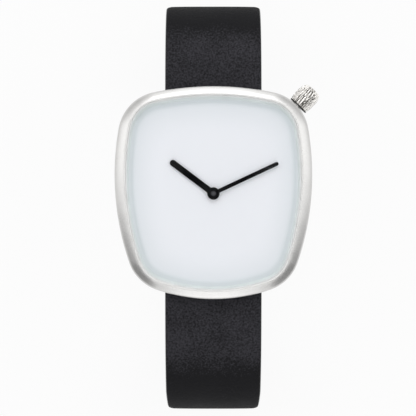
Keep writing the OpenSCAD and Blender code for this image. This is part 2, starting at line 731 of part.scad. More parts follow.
module yoke() color("silver") at_stem() difference() {
    union() {
        translate([yoke_at[0], yoke_at[1], plate_top]) rod(0.6, 0.2);
        translate([yoke_at[0] - 0.25, yoke_at[1], plate_top]) cube([0.5, 2, 0.2]);
        translate([yoke_at[0] - 0.25, yoke_at[1] + 1.8, plate_top]) cube([1.15, 0.5, 0.2]);
        translate([clutch_x + 0.58, yoke_at[1] + 1.8, plate_top]) cube([0.4, 2.4, 0.2]);
        translate([clutch_x + 0.58, -1.2, stem_z + 0.65]) cube([0.4, 1.5, plate_top + 0.2 - stem_z - 0.65]);
    }
    translate([yoke_at[0], yoke_at[1], 0]) rod(0.31, 1, plate_top - 0.3);
}
function crown_barrel(k) =
    let (foot = k < crown_mid, d = (k - crown_mid) / (foot ? crown_mid : 1 - crown_mid))
    [crown_r - (foot ? crown_foot : crown_nose) * d * d, k * crown_side];
module crown() color("silver") at_stem() along_stem(crown_x) difference() {
    ridge = [[-0.35, 0.93], [-0.15, 1], [0.2, 0.985], [0.4, 0.92]];
    intersection() {
        linear_extrude(crown_len) polygon([for (i = [0:crown_ridges - 1]) for (p = ridge)
            crown_r * p[1] * dir((i + p[0]) * 360 / crown_ridges)]);
        rotate_extrude($fn = 64) polygon(concat(
            [[0, 0]],
            [for (k = [0:1 / 6:1.01]) crown_barrel(k)],
            [for (a = [30:30:90]) [(crown_r - crown_nose) * cos(a), crown_side + crown_dome * sin(a)]]
        ));
    }
    rod(crown_well_r, crown_well + cut, -cut);
    rod(stem_r, stem_end - crown_x);
}
module crown_gasket() color("black") at_stem() along_stem(crown_x + 0.2)
    tube(crown_well_r, tube_r + 0.02, 0.5);
module crown_tube() color("silver") at_stem()
    along_stem(tube_x) tube(tube_r, stem_r + 0.07, tube_end - tube_x);

// Back
module case_back() color("silver") at_head() difference() {
    back_shape(0, 0, back_t);
    at_each(back_screw_at) {
        rod(0.85, 0.35 + cut, -cut);
        rod(0.5, back_t + 2 * cut, -cut);
    }
}
module back_gasket() color("black") at_head() tube(cavity_r + 0.75, cavity_r + 0.35, 0.45, back_t);
module back_screws() color("gray") at_head() translate([0, 0, fit_gap]) at_each(back_screw_at)
    screw(0.8, 0.3, 0.45, 2.9);

// Spring bars
module spring_bar(half_w, reach) {
    across(bar_r, half_w);
    across(tip_r, reach);
}
module case_bar(side) at_bar(side) spring_bar(strap_w / 2 + bar_over, strap_w / 2 + slot_gap + tip_over);
module spring_bar_12() color("lightgray") case_bar(1);
module spring_bar_6() color("lightgray") case_bar(-1);

// Strap sections, across the strap and out from its middle surface
function strap_width(u) = strap_w - (strap_w - strap_end_w)
    * min(1, max(0, (u - full_len) / (short_len - keeper_run - full_len)));
function strap_thick(u) = strap_thin_t + (strap_t - strap_thin_t) * max(0, 1 - u / taper_len);
function tip_width(u, end) =
    let (d = (u - end + tip_len) / tip_len)
    d <= 0 ? 1 : 0.25 + 0.75 * sqrt(max(0, 1 - pow(d, 2.4)));
function leather_section(w, t) =
    let (low = lining_t - t / 2, high = t / 2, c = 0.55)
    [[-w, low], [w, low], [w, high - c], [w - 0.3 * c, high - 0.3 * c], [w - c * 1.3, high],
     [c * 1.3 - w, high], [0.3 * c - w, high - 0.3 * c], [-w, high - c]];
function lining_section(w, t) =
    let (low = -t / 2, high = lining_t - t / 2, c = 0.3)
    [[c - w, low], [w - c, low], [w, low + c], [w, high], [-w, high], [-w, low + c]];
function carry(section, at, side) =
    [for (p = section)
        [-side * p[0], side * (bar_y + at[0] - p[1] * sin(at[2])), bar_z + at[1] + p[1] * cos(at[2])]];
module strap_layer(path, from, to, side, leather, tip = 0)
    skin([for (u = stations(path, from, to, tip))
        let (w = strap_width(u) / 2 * (tip == 0 ? 1 : tip_width(u, to)), t = strap_thick(u))
        carry(leather ? leather_section(w, t) : lining_section(w, t), place(path, u), side)]);
module on_strap(path, u, side) {
    at = place(path, u);
    translate([0, side * (bar_y + at[0]), bar_z + at[1]]) rotate([side * at[2], 0, 0]) children();
}

module short_strap_leather() color([0.13, 0.13, 0.14]) difference() {
    union() {
        strap_layer(short_path, 0, short_len, 1, true);
        at_bar(1) across(case_fold_r, strap_w / 2);
        at_buckle() across(buckle_fold_r, strap_end_w / 2);
    }
    at_bar(1) across(bar_r + fit_gap, strap_w);
    at_buckle() across(bar_r + fit_gap, strap_w);
    tongue_slot();
}
module tongue_slot() on_strap(short_path, short_len, 1)
    translate([-tongue_w / 2 - slot_gap, -tongue_slot_back, -punch / 2])
        cube([tongue_w + 2 * slot_gap, tongue_slot_len, punch]);
module short_strap_lining() color([0.2, 0.19, 0.19]) difference() {
    strap_layer(short_path, case_fold_r + 0.5, short_len - buckle_fold_r - 0.5, 1, false);
    tongue_slot();
}
module strap_holes() for (i = [0:hole_count - 1])
    on_strap(long_path, long_len - first_hole - i * hole_step, -1) rod(hole_r, punch, -punch / 2);
module long_strap_leather() color([0.13, 0.13, 0.14]) difference() {
    union() {
        strap_layer(long_path, 0, long_len, -1, true, tip_len);
        at_bar(-1) across(case_fold_r, strap_w / 2);
    }
    at_bar(-1) across(bar_r + fit_gap, strap_w);
    strap_holes();
}
module long_strap_lining() color([0.2, 0.19, 0.19]) difference() {
    strap_layer(long_path, case_fold_r + 0.5, long_len, -1, false, tip_len);
    strap_holes();
}

// Keepers, measured back from the buckle's bar along the straight run
module keeper(from) {
    w = strap_end_w / 2 + keeper_gap;
    low = -strap_thin_t / 2 - keeper_gap;
    high = 1.5 * strap_thin_t + 0.2;
    on_strap(short_path, short_len, 1) difference() {
        translate([-w - keeper_t, -from - keeper_len, low - keeper_t])
            cube([2 * (w + keeper_t), keeper_len, high - low + 2 * keeper_t]);
        translate([-w, -from - keeper_len - cut, low]) cube([2 * w, keeper_len + 2 * cut, high - low]);
    }
}
module fixed_keeper() color([0.12, 0.12, 0.13]) keeper(fixed_keeper_at);
module free_keeper() color([0.12, 0.12, 0.13]) keeper(fixed_keeper_at + keeper_len + keeper_space);

// Buckle, drawn from its bar towards -Y, lying flat on the floor
module buckle_frame() color("silver") at_buckle() difference() {
    union() {
        for (s = [-1, 1]) translate([s * (frame_gap + buckle_side / 2), 0, 0]) {
            across(ear_r, buckle_side / 2);
            translate([-buckle_side / 2, frame_corner - frame_reach, -ear_r])
                cube([buckle_side, frame_reach - frame_corner, frame_t]);
        }
        translate([frame_corner - frame_half, -frame_reach, -ear_r])
            cube([2 * (frame_half - frame_corner), frame_bar, frame_t]);
        for (s = [-1, 1]) at([s * (frame_half - frame_corner), frame_corner - frame_reach])
            rod(frame_corner, frame_t, -ear_r);
    }
    across(tip_r + fit_gap, frame_gap + tip_over + 0.3);
    translate([-tongue_w / 2 - loose_gap, -frame_reach - cut, -ear_r - cut])
        cube([tongue_w + 2 * loose_gap, frame_bar + 2 * cut, loose_gap + tongue_t + fit_gap + cut]);
}
module buckle_bar() color("lightgray") at_buckle() spring_bar(frame_gap - 0.05, frame_gap + tip_over + 0.2);
module buckle_tongue() color("silver") at_buckle() {
    low = loose_gap - ear_r;
    reach = frame_reach + 0.2;
    difference() {
        union() {
            across(1.25, tongue_w / 2);
            translate([-tongue_w / 2, 0, 0]) rotate([90, 0, 90]) linear_extrude(tongue_w) polygon([
                [0, -1.25], [-1, -1.2], [-3, low], [-reach, low], [-reach - 0.5, low + tongue_t * 0.4],
                [-reach, low + tongue_t], [-3, low + tongue_t], [-1, -0.4], [0, -0.4]
            ]);
        }
        across(bar_r + fit_gap, tongue_w);
    }
}

case_body();
crystal();
crystal_gasket();
dial_ring();
dial();
hour_hand();
minute_hand();
movement_holder();
main_plate();
cannon_pinion();
hour_wheel();
minute_wheel();
setting_wheel();
centre_wheel();
intermediate_wheel();
rotor();
stator();
coil_core();
coil_winding();
circuit_board();
quartz_can();
clock_chip();
battery();
battery_clamp();
train_bridge();
movement_screws();
stem();
clutch_wheel();
setting_lever();
yoke();
crown();
crown_gasket();
crown_tube();
case_back();
back_gasket();
back_screws();
spring_bar_12();
spring_bar_6();
short_strap_leather();
short_strap_lining();
long_strap_leather();
long_strap_lining();
fixed_keeper();
free_keeper();
buckle_frame();
buckle_bar();
buckle_tongue();
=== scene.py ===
import logging
import math
from dataclasses import dataclass, field
from enum import Enum
from typing import Callable, Sequence

import bmesh
import bpy
from mathutils import Matrix, Vector, noise


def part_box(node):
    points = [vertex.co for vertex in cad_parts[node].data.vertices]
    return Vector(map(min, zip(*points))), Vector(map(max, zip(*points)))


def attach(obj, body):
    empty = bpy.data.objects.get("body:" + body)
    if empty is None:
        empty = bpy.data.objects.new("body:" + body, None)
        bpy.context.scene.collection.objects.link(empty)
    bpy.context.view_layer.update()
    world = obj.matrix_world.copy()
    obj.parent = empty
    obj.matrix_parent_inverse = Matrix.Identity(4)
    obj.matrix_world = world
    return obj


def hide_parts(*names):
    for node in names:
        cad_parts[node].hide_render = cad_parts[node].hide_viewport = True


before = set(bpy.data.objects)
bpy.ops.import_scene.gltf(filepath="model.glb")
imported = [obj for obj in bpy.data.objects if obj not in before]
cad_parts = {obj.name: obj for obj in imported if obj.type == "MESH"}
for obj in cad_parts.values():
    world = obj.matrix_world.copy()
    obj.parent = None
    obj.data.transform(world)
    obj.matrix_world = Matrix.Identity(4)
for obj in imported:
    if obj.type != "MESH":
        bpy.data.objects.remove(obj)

log = logging.getLogger("wristwatch")
MM = 0.001
SMOOTH_ANGLE = math.radians(38)
Point = tuple[float, float, float]
Flat = tuple[float, float]
Socket = bpy.types.NodeSocket


class Side(Enum):
    """The two ends of the case that carry a strap half."""

    TWELVE = 1
    SIX = -1


class Flow(Enum):
    """How the fine texture of a finish runs, as stretch factors of its pattern along X, Y and Z."""

    EVEN = (1.0, 1.0, 1.0)
    ACROSS = (0.06, 1.0, 1.0)
    ALONG = (1.0, 0.06, 1.0)
    TURNED = (1.0, 1.0, 0.05)


# Finishes


class Tree:
    """Node tree, with shorthands for adding and joining its nodes."""

    def __init__(self, tree: bpy.types.NodeTree) -> None:
        """Empties a tree.

        Args:
            tree: The tree of a material or of the world.
        """
        self.tree = tree
        tree.nodes.clear()

    def add(self, kind: str, **settings: object) -> bpy.types.Node:
        """Adds a node.

        Args:
            kind: The node's type name.
            **settings: Properties to set on it.

        Returns:
            The new node.
        """
        made = self.tree.nodes.new(kind)
        for key, value in settings.items():
            setattr(made, key, value)
        return made

    def link(self, out: Socket, into: Socket) -> None:
        """Joins two sockets."""
        self.tree.links.new(out, into)

    def maths(self, operation: str, *values: "Socket | float") -> Socket:
        """Result of a maths node.

        Args:
            operation: The node's operation.
            *values: Sockets or numbers that it takes.

        Returns:
            The result.
        """
        made = self.add("ShaderNodeMath", operation=operation)
        for k, value in enumerate(values):
            if isinstance(value, (int, float)):
                made.inputs[k].default_value = value
            else:
                self.link(value, made.inputs[k])
        return made.outputs[0]

    def share(self, value: Socket, slope: float, start: float = 0.0) -> Socket:
        """Slope times value plus start, kept between 0 and 1.

        Args:
            value: The value.
            slope: What it is multiplied by.
            start: What is added.

        Returns:
            The share.
        """
        result = self.maths("MULTIPLY_ADD", value, slope, start)
        result.node.use_clamp = True
        return result

    def axes(self, vector: Socket) -> Sequence[Socket]:
        """Splits a vector.

        Args:
            vector: The vector.

        Returns:
            Its three coordinates.
        """
        parts = self.add("ShaderNodeSeparateXYZ")
        self.link(vector, parts.inputs[0])
        return parts.outputs

    def mix(self, share: Socket, first: bpy.types.Node, second: bpy.types.Node) -> bpy.types.Node:
        """Mix of two shaders.

        Args:
            share: Share of the second one.
            first: The shader where the share is 0.
            second: The shader where the share is 1.

        Returns:
            The mixing node.
        """
        made = self.add("ShaderNodeMixShader")
        for source, into in zip((share, first.outputs[0], second.outputs[0]), made.inputs):
            self.link(source, into)
        return made


class Graph(Tree):
    """Node tree of one material, with its Principled shader and its object coordinates."""

    def __init__(self, name: str) -> None:
        """Starts a material.

        Args:
            name: The material's name.
        """
        self.material = bpy.data.materials.new(name)
        self.material.use_nodes = True
        super().__init__(self.material.node_tree)
        self.shader = self.add("ShaderNodeBsdfPrincipled")
        self.output = self.add("ShaderNodeOutputMaterial")
        self.link(self.shader.outputs[0], self.output.inputs["Surface"])
        self.coords = self.add("ShaderNodeTexCoord").outputs["Object"]

    def set(self, **values: object) -> None:
        """Sets uniform values on the shader's own sockets, named with underscores for spaces."""
        for key, value in values.items():
            self.shader.inputs[key.replace("_", " ")].default_value = value

    def skin(self, colour: Socket, roughness: Socket) -> None:
        """Gives the shader its colour and roughness."""
        self.link(colour, self.shader.inputs["Base Color"])
        self.link(roughness, self.shader.inputs["Roughness"])

    def scaled(self, size_mm: float, flow: Flow = Flow.EVEN) -> Socket:
        """Object coordinates in units of a pattern size.

        Args:
            size_mm: Size of one unit of the pattern in millimetres.
            flow: How the pattern is stretched.

        Returns:
            The mapped coordinates.
        """
        mapping = self.add("ShaderNodeMapping")
        mapping.inputs["Scale"].default_value = [k / (size_mm * MM) for k in flow.value]
        self.link(self.coords, mapping.inputs["Vector"])
        return mapping.outputs[0]

    def noise(self, size_mm: float, detail: float = 3.0, flow: Flow = Flow.EVEN) -> Socket:
        """Noise of a given feature size.

        Args:
            size_mm: Feature size in millimetres.
            detail: Octaves of finer noise.
            flow: How the noise is stretched.

        Returns:
            The noise value, about 0.5 on average.
        """
        made = self.add("ShaderNodeTexNoise")
        made.inputs["Scale"].default_value = 1.0
        made.inputs["Detail"].default_value = detail
        self.link(self.scaled(size_mm, flow), made.inputs["Vector"])
        return made.outputs["Fac"]

    def cells(self, size_mm: float) -> Socket:
        """Soft cell pattern of a given cell size.

        Args:
            size_mm: Cell size in millimetres.

        Returns:
            The distance value.
        """
        made = self.add("ShaderNodeTexVoronoi", feature="SMOOTH_F1")
        made.inputs["Scale"].default_value = 1.0
        self.link(self.scaled(size_mm), made.inputs["Vector"])
        return made.outputs["Distance"]

    def attribute(self, name: str) -> Socket:
        """Value of a mesh attribute."""
        return self.add("ShaderNodeAttribute", attribute_name=name).outputs["Fac"]

    def ramp(self, factor: Socket, stops: Sequence[tuple[float, Point]]) -> Socket:
        """Colour ramp.

        Args:
            factor: What drives the ramp.
            stops: Positions and linear colours, in order.

        Returns:
            The colour.
        """
        made = self.add("ShaderNodeValToRGB")
        elements = made.color_ramp.elements
        while len(elements) < len(stops):
            elements.new(0.5)
        for element, (position, colour) in zip(elements, stops):
            element.position = position
            element.color = (*colour, 1)
        self.link(factor, made.inputs[0])
        return made.outputs[0]

    def blend(self, first: Socket, second: Socket, share: float) -> Socket:
        """Sum of two patterns, of which the first has the given share."""
        return self.maths("ADD", self.maths("MULTIPLY", first, share), self.maths("MULTIPLY", second, 1 - share))

    def spread(self, factor: Socket, low: float, high: float, span: Flat = (0.3, 0.7)) -> Socket:
        """Maps a pattern's value to a range.

        Args:
            factor: The pattern.
            low: Result at the low end of the span.
            high: Result at the high end.
            span: Part of the pattern's values that is used.

        Returns:
            The mapped value.
        """
        made = self.add("ShaderNodeMapRange")
        for key, value in zip(("From Min", "From Max", "To Min", "To Max"), (*span, low, high)):
            made.inputs[key].default_value = value
        self.link(factor, made.inputs["Value"])
        return made.outputs[0]

    def bump(self, height: Socket, depth_mm: float, strength: float = 1.0) -> None:
        """Adds relief to the shader's normal, on top of what is there.

        Args:
            height: The relief pattern, 0 to 1.
            depth_mm: Depth of the relief in millimetres.
            strength: How strongly it is applied.
        """
        made = self.add("ShaderNodeBump")
        made.inputs["Strength"].default_value = strength
        made.inputs["Distance"].default_value = depth_mm * MM
        self.link(height, made.inputs["Height"])
        normal = self.shader.inputs["Normal"]
        if normal.links:
            self.link(normal.links[0].from_socket, made.inputs["Normal"])
        self.link(made.outputs[0], normal)


def darker(colour: Point, by: float) -> Point:
    """Colour at a share of its brightness."""
    return tuple(c * by for c in colour)


@dataclass(frozen=True)
class Finish:
    """What a surface is made of. Subclasses build the material."""

    name: str

    def material(self) -> bpy.types.Material:
        """The material, built once and kept by name."""
        found = bpy.data.materials.get(self.name)
        return found or self.build()

    def build(self) -> bpy.types.Material:
        """Builds the material."""
        raise NotImplementedError


@dataclass(frozen=True)
class Metal(Finish):
    """Metal with a fine directional grain and broad, faint clouds."""

    colour: Point = (0.78, 0.775, 0.765)
    roughness: Flat = (0.24, 0.32)
    grain_mm: float = 0.12
    flow: Flow = Flow.EVEN
    relief_mm: float = 0.001
    cloud_mm: float = 4.0
    cloud_dim: float = 0.93
    grain_share: float = 0.7

    def build(self) -> bpy.types.Material:
        """Builds the material.

        Returns:
            The material.
        """
        graph = Graph(self.name)
        graph.set(Metallic=1.0)
        grain = graph.noise(self.grain_mm, 2.0, self.flow)
        cloud = graph.noise(self.cloud_mm, 2.0)
        graph.skin(graph.ramp(cloud, [(0.3, darker(self.colour, self.cloud_dim)), (0.7, self.colour)]),
                   graph.spread(graph.blend(grain, cloud, self.grain_share), *self.roughness))
        graph.bump(grain, self.relief_mm)
        return graph.material


@dataclass(frozen=True)
class BarkSteel(Finish):
    """Steel with painted highlight on ridges and painted shade in grooves, read from the mesh's groove attribute."""

    # Painted highlight on the ridges at 0, brighter than steel, down to painted shade in the grooves at 1
    stops: tuple[tuple[float, Point], ...] = (
        (0.0, (0.96, 0.94, 0.91)), (0.3, (0.84, 0.82, 0.79)), (0.6, (0.29, 0.28, 0.262)), (1.0, (0.055, 0.052, 0.048)))
    roughness: Flat = (0.2, 0.36)
    fine_mm: float = 0.1
    relief_mm: float = 0.012

    def build(self) -> bpy.types.Material:
        """Builds the material.

        Returns:
            The material.
        """
        graph = Graph(self.name)
        graph.set(Metallic=1.0)
        fine = graph.noise(self.fine_mm)
        graph.skin(graph.ramp(graph.attribute("groove"), self.stops), graph.spread(fine, *self.roughness))
        graph.bump(fine, self.relief_mm)
        return graph.material


@dataclass(frozen=True)
class Lacquer(Finish):
    """Smooth lacquer, with painted shade towards the edge where the mesh has an edge attribute."""

    colour: Point = (0.8, 0.8, 0.8)
    edge_shade_colour: Point | None = None
    roughness: Flat = (0.3, 0.36)
    relief_mm: float = 0.0008
    specular: float = 0.5
    fine_mm: float = 0.35
    cloud_mm: float = 3.0
    cloud_dim: float = 0.9

    def build(self) -> bpy.types.Material:
        """Builds the material.

        Returns:
            The material.
        """
        graph = Graph(self.name)
        graph.set(Specular_IOR_Level=self.specular)
        fine = graph.noise(self.fine_mm)
        # Painted shade: where the edge attribute is high, the colour darkens towards the edge colour
        if self.edge_shade_colour:
            middle = tuple((a + 3 * b) / 4 for a, b in zip(self.edge_shade_colour, self.colour))
            colour = graph.ramp(graph.attribute("edge"), [(0.0, self.colour), (0.55, middle), (1.0, self.edge_shade_colour)])
        else:
            dim = darker(self.colour, self.cloud_dim)
            colour = graph.ramp(graph.noise(self.cloud_mm), [(0.3, dim), (0.7, self.colour)])
        graph.skin(colour, graph.spread(fine, *self.roughness))
        graph.bump(fine, self.relief_mm)
        return graph.material


@dataclass(frozen=True)
class CrystalGlass(Finish):
    """Clear coated glass that lets lamp light, and light that has bounced inside it a few times, pass straight on.

    The coating dims what the faces mirror. Inner faces that mirror fully are of plain glass, which loses nothing.
    """

    colour: Point = (0.985, 0.992, 0.993)
    coating: Point = (0.1, 0.11, 0.13)
    ior: float = 1.5
    full_mirror: float = 0.3
    most_bounces: float = 2.5

    def build(self) -> bpy.types.Material:
        """Builds the material.

        Returns:
            The material.
        """
        graph = Graph(self.name)
        graph.set(Base_Color=(*self.colour, 1), Roughness=0.0, IOR=self.ior, Transmission_Weight=1.0,
                  Specular_Tint=(*self.coating, 1))
        plain = graph.add("ShaderNodeBsdfGlass")
        plain.inputs["Color"].default_value = (*self.colour, 1)
        plain.inputs["Roughness"].default_value = 0.0
        plain.inputs["IOR"].default_value = self.ior
        fresnel = graph.add("ShaderNodeFresnel")
        fresnel.inputs["IOR"].default_value = self.ior
        mirrored = graph.maths("GREATER_THAN", fresnel.outputs[0], self.full_mirror)
        inner = graph.maths("MULTIPLY", graph.add("ShaderNodeNewGeometry").outputs["Backfacing"], mirrored)
        passing = graph.add("ShaderNodeBsdfTransparent")
        passing.inputs["Color"].default_value = (*self.colour, 1)
        path = graph.add("ShaderNodeLightPath").outputs
        straight = graph.maths("MAXIMUM", path["Is Shadow Ray"], path["Is Diffuse Ray"])
        straight = graph.maths("MAXIMUM", straight, graph.maths("GREATER_THAN", path["Ray Depth"], self.most_bounces))
        faces = graph.mix(straight, graph.mix(inner, graph.shader, plain), passing)
        graph.link(faces.outputs[0], graph.output.inputs["Surface"])
        return graph.material


@dataclass(frozen=True)
class Leather(Finish):
    """Smooth dyed leather with a fine pebble and small pores, with painted shade where the strap turns down.

    dark_at and light_at are the heights in millimetres between which the colour lightens from painted shade to
    painted light, by crest from the drop below.
    """

    colour: Point = (0.011, 0.011, 0.0125)
    # Light end of the colour ramp, reached by random grain tone and by the painted light higher up
    grain_and_lit: Point = (0.04, 0.039, 0.0455)
    roughness: Flat = (0.6, 0.74)
    pebble_mm: float = 0.42
    relief_mm: float = 0.045
    specular: float = 0.06
    grain_mm: float = 0.34
    dark_at: float = 55.6
    light_at: float = 59.2
    crest: float = 0.25
    shade_drop: float = -0.22
    fibre_mm: float = 0.16
    cloud_mm: float = 5.0
    swell_mm: float = 3.0

    def build(self) -> bpy.types.Material:
        """Builds the material.

        Returns:
            The material.
        """
        graph = Graph(self.name)
        graph.set(Specular_IOR_Level=self.specular)
        pebble = graph.cells(self.pebble_mm)
        fibre = graph.noise(self.fibre_mm, 4.0)
        cloud = graph.noise(self.cloud_mm, 4.0)
        mixed = graph.blend(graph.noise(self.grain_mm), cloud, 0.75)
        span = self.light_at - self.dark_at
        # Painted shade and light: the colour is darker below dark_at, where the strap turns down, and lighter above
        # light_at
        height_light = graph.share(graph.axes(graph.coords)[2], 1 / (span * MM), -self.dark_at / span)
        mixed = graph.maths("MULTIPLY_ADD", height_light, self.crest, graph.maths("ADD", mixed, self.shade_drop))
        graph.skin(graph.ramp(mixed, [(0.38, self.colour), (0.64, self.grain_and_lit)]),
                   graph.spread(graph.blend(fibre, cloud, 0.6), *self.roughness))
        graph.bump(graph.noise(self.swell_mm, 2.0), self.relief_mm * 2)
        graph.bump(pebble, self.relief_mm, 0.8)
        graph.bump(fibre, self.relief_mm * 0.45)
        return graph.material


@dataclass(frozen=True)
class Moulded(Finish):
    """Moulded plastic, rubber or magnet, with a fine matt skin."""

    colour: Point = (0.5, 0.5, 0.5)
    roughness: Flat = (0.45, 0.6)
    skin_mm: float = 0.2
    relief_mm: float = 0.006
    cloud_mm: float = 2.5
    cloud_dim: float = 0.85

    def build(self) -> bpy.types.Material:
        """Builds the material.

        Returns:
            The material.
        """
        graph = Graph(self.name)
        fine, dim = graph.noise(self.skin_mm), darker(self.colour, self.cloud_dim)
        graph.skin(graph.ramp(graph.noise(self.cloud_mm), [(0.3, dim), (0.7, self.colour)]),
                   graph.spread(fine, *self.roughness))
        graph.bump(fine, self.relief_mm)
        return graph.material


@dataclass(frozen=True)
class Wound(Finish):
    """Fine enamelled wire laid side by side, with painted shade between the wires."""

    colour: Point = (0.55, 0.2, 0.07)
    pitch_mm: float = 0.09
    roughness: Flat = (0.4, 0.25)
    relief_mm: float = 0.02

    def build(self) -> bpy.types.Material:
        """Builds the material.

        Returns:
            The material.
        """
        graph = Graph(self.name)
        graph.set(Metallic=0.7)
        waves = graph.add("ShaderNodeTexWave", bands_direction="DIAGONAL")
        waves.inputs["Scale"].default_value = 0.35
        waves.inputs["Distortion"].default_value = 0.4
        graph.link(graph.scaled(self.pitch_mm), waves.inputs["Vector"])
        wire = waves.outputs["Fac"]
        # Painted shade: the colour darkens between the wires
        graph.skin(graph.ramp(wire, [(0.0, darker(self.colour, 0.35)), (0.6, self.colour)]),
                   graph.spread(wire, *self.roughness, (0.0, 1.0)))
        graph.bump(wire, self.relief_mm)
        return graph.material


@dataclass(frozen=True)
class Arbor(Finish):
    """Brass wheel on a dark steel arbor, told apart by the distance from the hand axis."""

    wheel: Point = (0.72, 0.5, 0.2)
    arbor: Point = (0.09, 0.09, 0.095)
    arbor_r_mm: float = 0.27
    roughness: Flat = (0.25, 0.4)
    fine_mm: float = 0.08
    relief_mm: float = 0.001

    def build(self) -> bpy.types.Material:
        """Builds the material.

        Returns:
            The material.
        """
        graph = Graph(self.name)
        graph.set(Metallic=1.0)
        squares = [graph.maths("POWER", along, 2.0) for along in graph.axes(graph.coords)[:2]]
        radius = graph.maths("SQRT", graph.maths("ADD", *squares))
        outside = graph.maths("GREATER_THAN", radius, self.arbor_r_mm * MM)
        fine = graph.noise(self.fine_mm)
        graph.skin(graph.ramp(outside, [(0.0, self.arbor), (1.0, self.wheel)]), graph.spread(fine, *self.roughness))
        graph.bump(fine, self.relief_mm)
        return graph.material


SATIN = Metal("satin_steel", (0.68, 0.675, 0.665), (0.24, 0.32), 0.1, relief_mm=0.0015, cloud_mm=3.0)
POLISHED = Metal("polished_steel", (0.84, 0.84, 0.83), (0.6, 0.66), 0.1, relief_mm=0.0002)
INNER_STEEL = Metal("machined_steel", (0.5, 0.5, 0.5), (0.3, 0.42), 0.1, Flow.TURNED)
BACK_STEEL = Metal("back_satin", (0.74, 0.735, 0.725), (0.26, 0.4), 0.16, Flow.ACROSS, 0.0025, cloud_mm=6.0)
BUCKLE_STEEL = Metal("buckle_satin", (0.78, 0.775, 0.765), (0.2, 0.3), 0.12, Flow.ACROSS, 0.0015)
BRIGHT = Metal("bright_ground_steel", (0.72, 0.72, 0.735), (0.18, 0.3), 0.08, Flow.ALONG)
BARK = BarkSteel("bark_steel")
# Near-black collar at the crown's base: painted shade for the gap between crown and case
COLLAR_SHADE = Metal("collar_painted_shade", (0.05, 0.05, 0.048), (0.3, 0.4), 0.08)
DARK_STEEL = Metal("blackened_steel", (0.055, 0.055, 0.06), (0.25, 0.36), 0.05)
BRASS = Metal("turned_brass", (0.72, 0.5, 0.2), (0.25, 0.38), 0.1, Flow.TURNED)
SOFT_IRON = Metal("annealed_iron", (0.33, 0.34, 0.36), (0.4, 0.55), 0.1, relief_mm=0.002)
CAN = Metal("drawn_can", (0.8, 0.8, 0.81), (0.12, 0.22), 0.15, Flow.TURNED, 0.0006)
# The dial's edge colour is painted shade near the rim and the crystal's edge
DIAL_WHITE = Lacquer("dial_lacquer", (0.865, 0.867, 0.908), edge_shade_colour=(0.55, 0.61, 0.625))
RING_PALE = Lacquer("ring_lacquer", (0.71, 0.755, 0.755), roughness=(0.32, 0.4))
HAND_BLACK = Lacquer("hand_lacquer", (0.003, 0.003, 0.0035), roughness=(0.1, 0.14), relief_mm=0.0002, specular=0.09)
GLASS = CrystalGlass("crystal_glass")
UPPER = Leather("strap_upper_leather")
LINING = Leather("strap_lining_leather", (0.03, 0.026, 0.024), (0.06, 0.052, 0.047), (0.6, 0.75), pebble_mm=0.7,
                 relief_mm=0.03, specular=0.25)
EDGE_PAINT = Lacquer("strap_edge_paint", (0.012, 0.013, 0.014), roughness=(0.2, 0.3), relief_mm=0.004)
RUBBER = Moulded("gasket_rubber", (0.025, 0.025, 0.026))
NYLON = Moulded("pale_nylon", (0.79, 0.80, 0.80))
HOLDER = Moulded("holder_moulding", (0.68, 0.66, 0.58))
CHIP = Moulded("chip_moulding", (0.02, 0.02, 0.022), (0.35, 0.5))
BOARD = Moulded("board_mask", (0.03, 0.16, 0.07), (0.25, 0.4), skin_mm=0.4)
MAGNET = Moulded("rotor_magnet", (0.09, 0.09, 0.1), (0.4, 0.55))
COPPER = Wound("coil_wire")
CENTRE = Arbor("centre_wheel_metal")


# Mesh making


def morph(a: Sequence[Flat], b: Sequence[Flat], k: float) -> list[Flat]:
    """Outline between two outlines of equal counts, at b where k is 1."""
    return [tuple(u + (v - u) * k for u, v in zip(p, q)) for p, q in zip(a, b)]


def eased(low: float, high: float, k: float) -> float:
    """Value that runs gently from low to high as k runs from 0 to 1."""
    return low + (high - low) * k * k * (3 - 2 * k)


@dataclass
class Piece:
    """One visible piece while its mesh is being made, in millimetres of the shared frame."""

    name: str
    finishes: Sequence[Finish]
    points: list[Point] = field(default_factory=list)
    faces: list[tuple[Sequence[int], int]] = field(default_factory=list)
    values: dict[str, list[float]] = field(default_factory=dict)

    def loft(self, rings: Sequence[Sequence[Point]], shade: Callable[[int, int], int] = lambda i, j: 0,
             around: bool = False) -> "Piece":
        """Skins a row of rings that have equal numbers of points.

        Args:
            rings: The rings in order.
            shade: Finish number of the face after ring i and point j.
            around: Whether the last ring joins the first. If not, both are filled.

        Returns:
            The piece itself.
        """
        base, n, m = len(self.points), len(rings[0]), len(rings)
        for ring in rings:
            self.points += ring
        for i in range(m if around else m - 1):
            for j in range(n):
                k, next_ring = (j + 1) % n, (i + 1) % m
                quad = (i * n + j, i * n + k, next_ring * n + k, next_ring * n + j)
                self.faces.append((tuple(base + q for q in quad), shade(i, j)))
        if not around:
            self.faces.append((tuple(base + j for j in range(n - 1, -1, -1)), shade(0, 0)))
            self.faces.append((tuple(base + (m - 1) * n + j for j in range(n)), shade(m - 2, 0)))
        return self

    def finish_mesh(self, smooth: bool = True) -> bpy.types.Object:
        """Makes the Blender object.

        Args:
            smooth: Whether faces are shaded smooth across soft angles.

        Returns:
            The object, linked to the scene.
        """
        mesh = bpy.data.meshes.new(self.name)
        mesh.from_pydata([[c * MM for c in p] for p in self.points], [], [f for f, _ in self.faces])
        for finish in self.finishes:
            mesh.materials.append(finish.material())
        for polygon, (_, number) in zip(mesh.polygons, self.faces):
            polygon.material_index = number
        for key, row in self.values.items():
            mesh.attributes.new(key, "FLOAT", "POINT").data.foreach_set("value", row)
        tidy_normals(mesh, smooth)
        made = bpy.data.objects.new(self.name, mesh)
        bpy.context.scene.collection.objects.link(made)
        return made


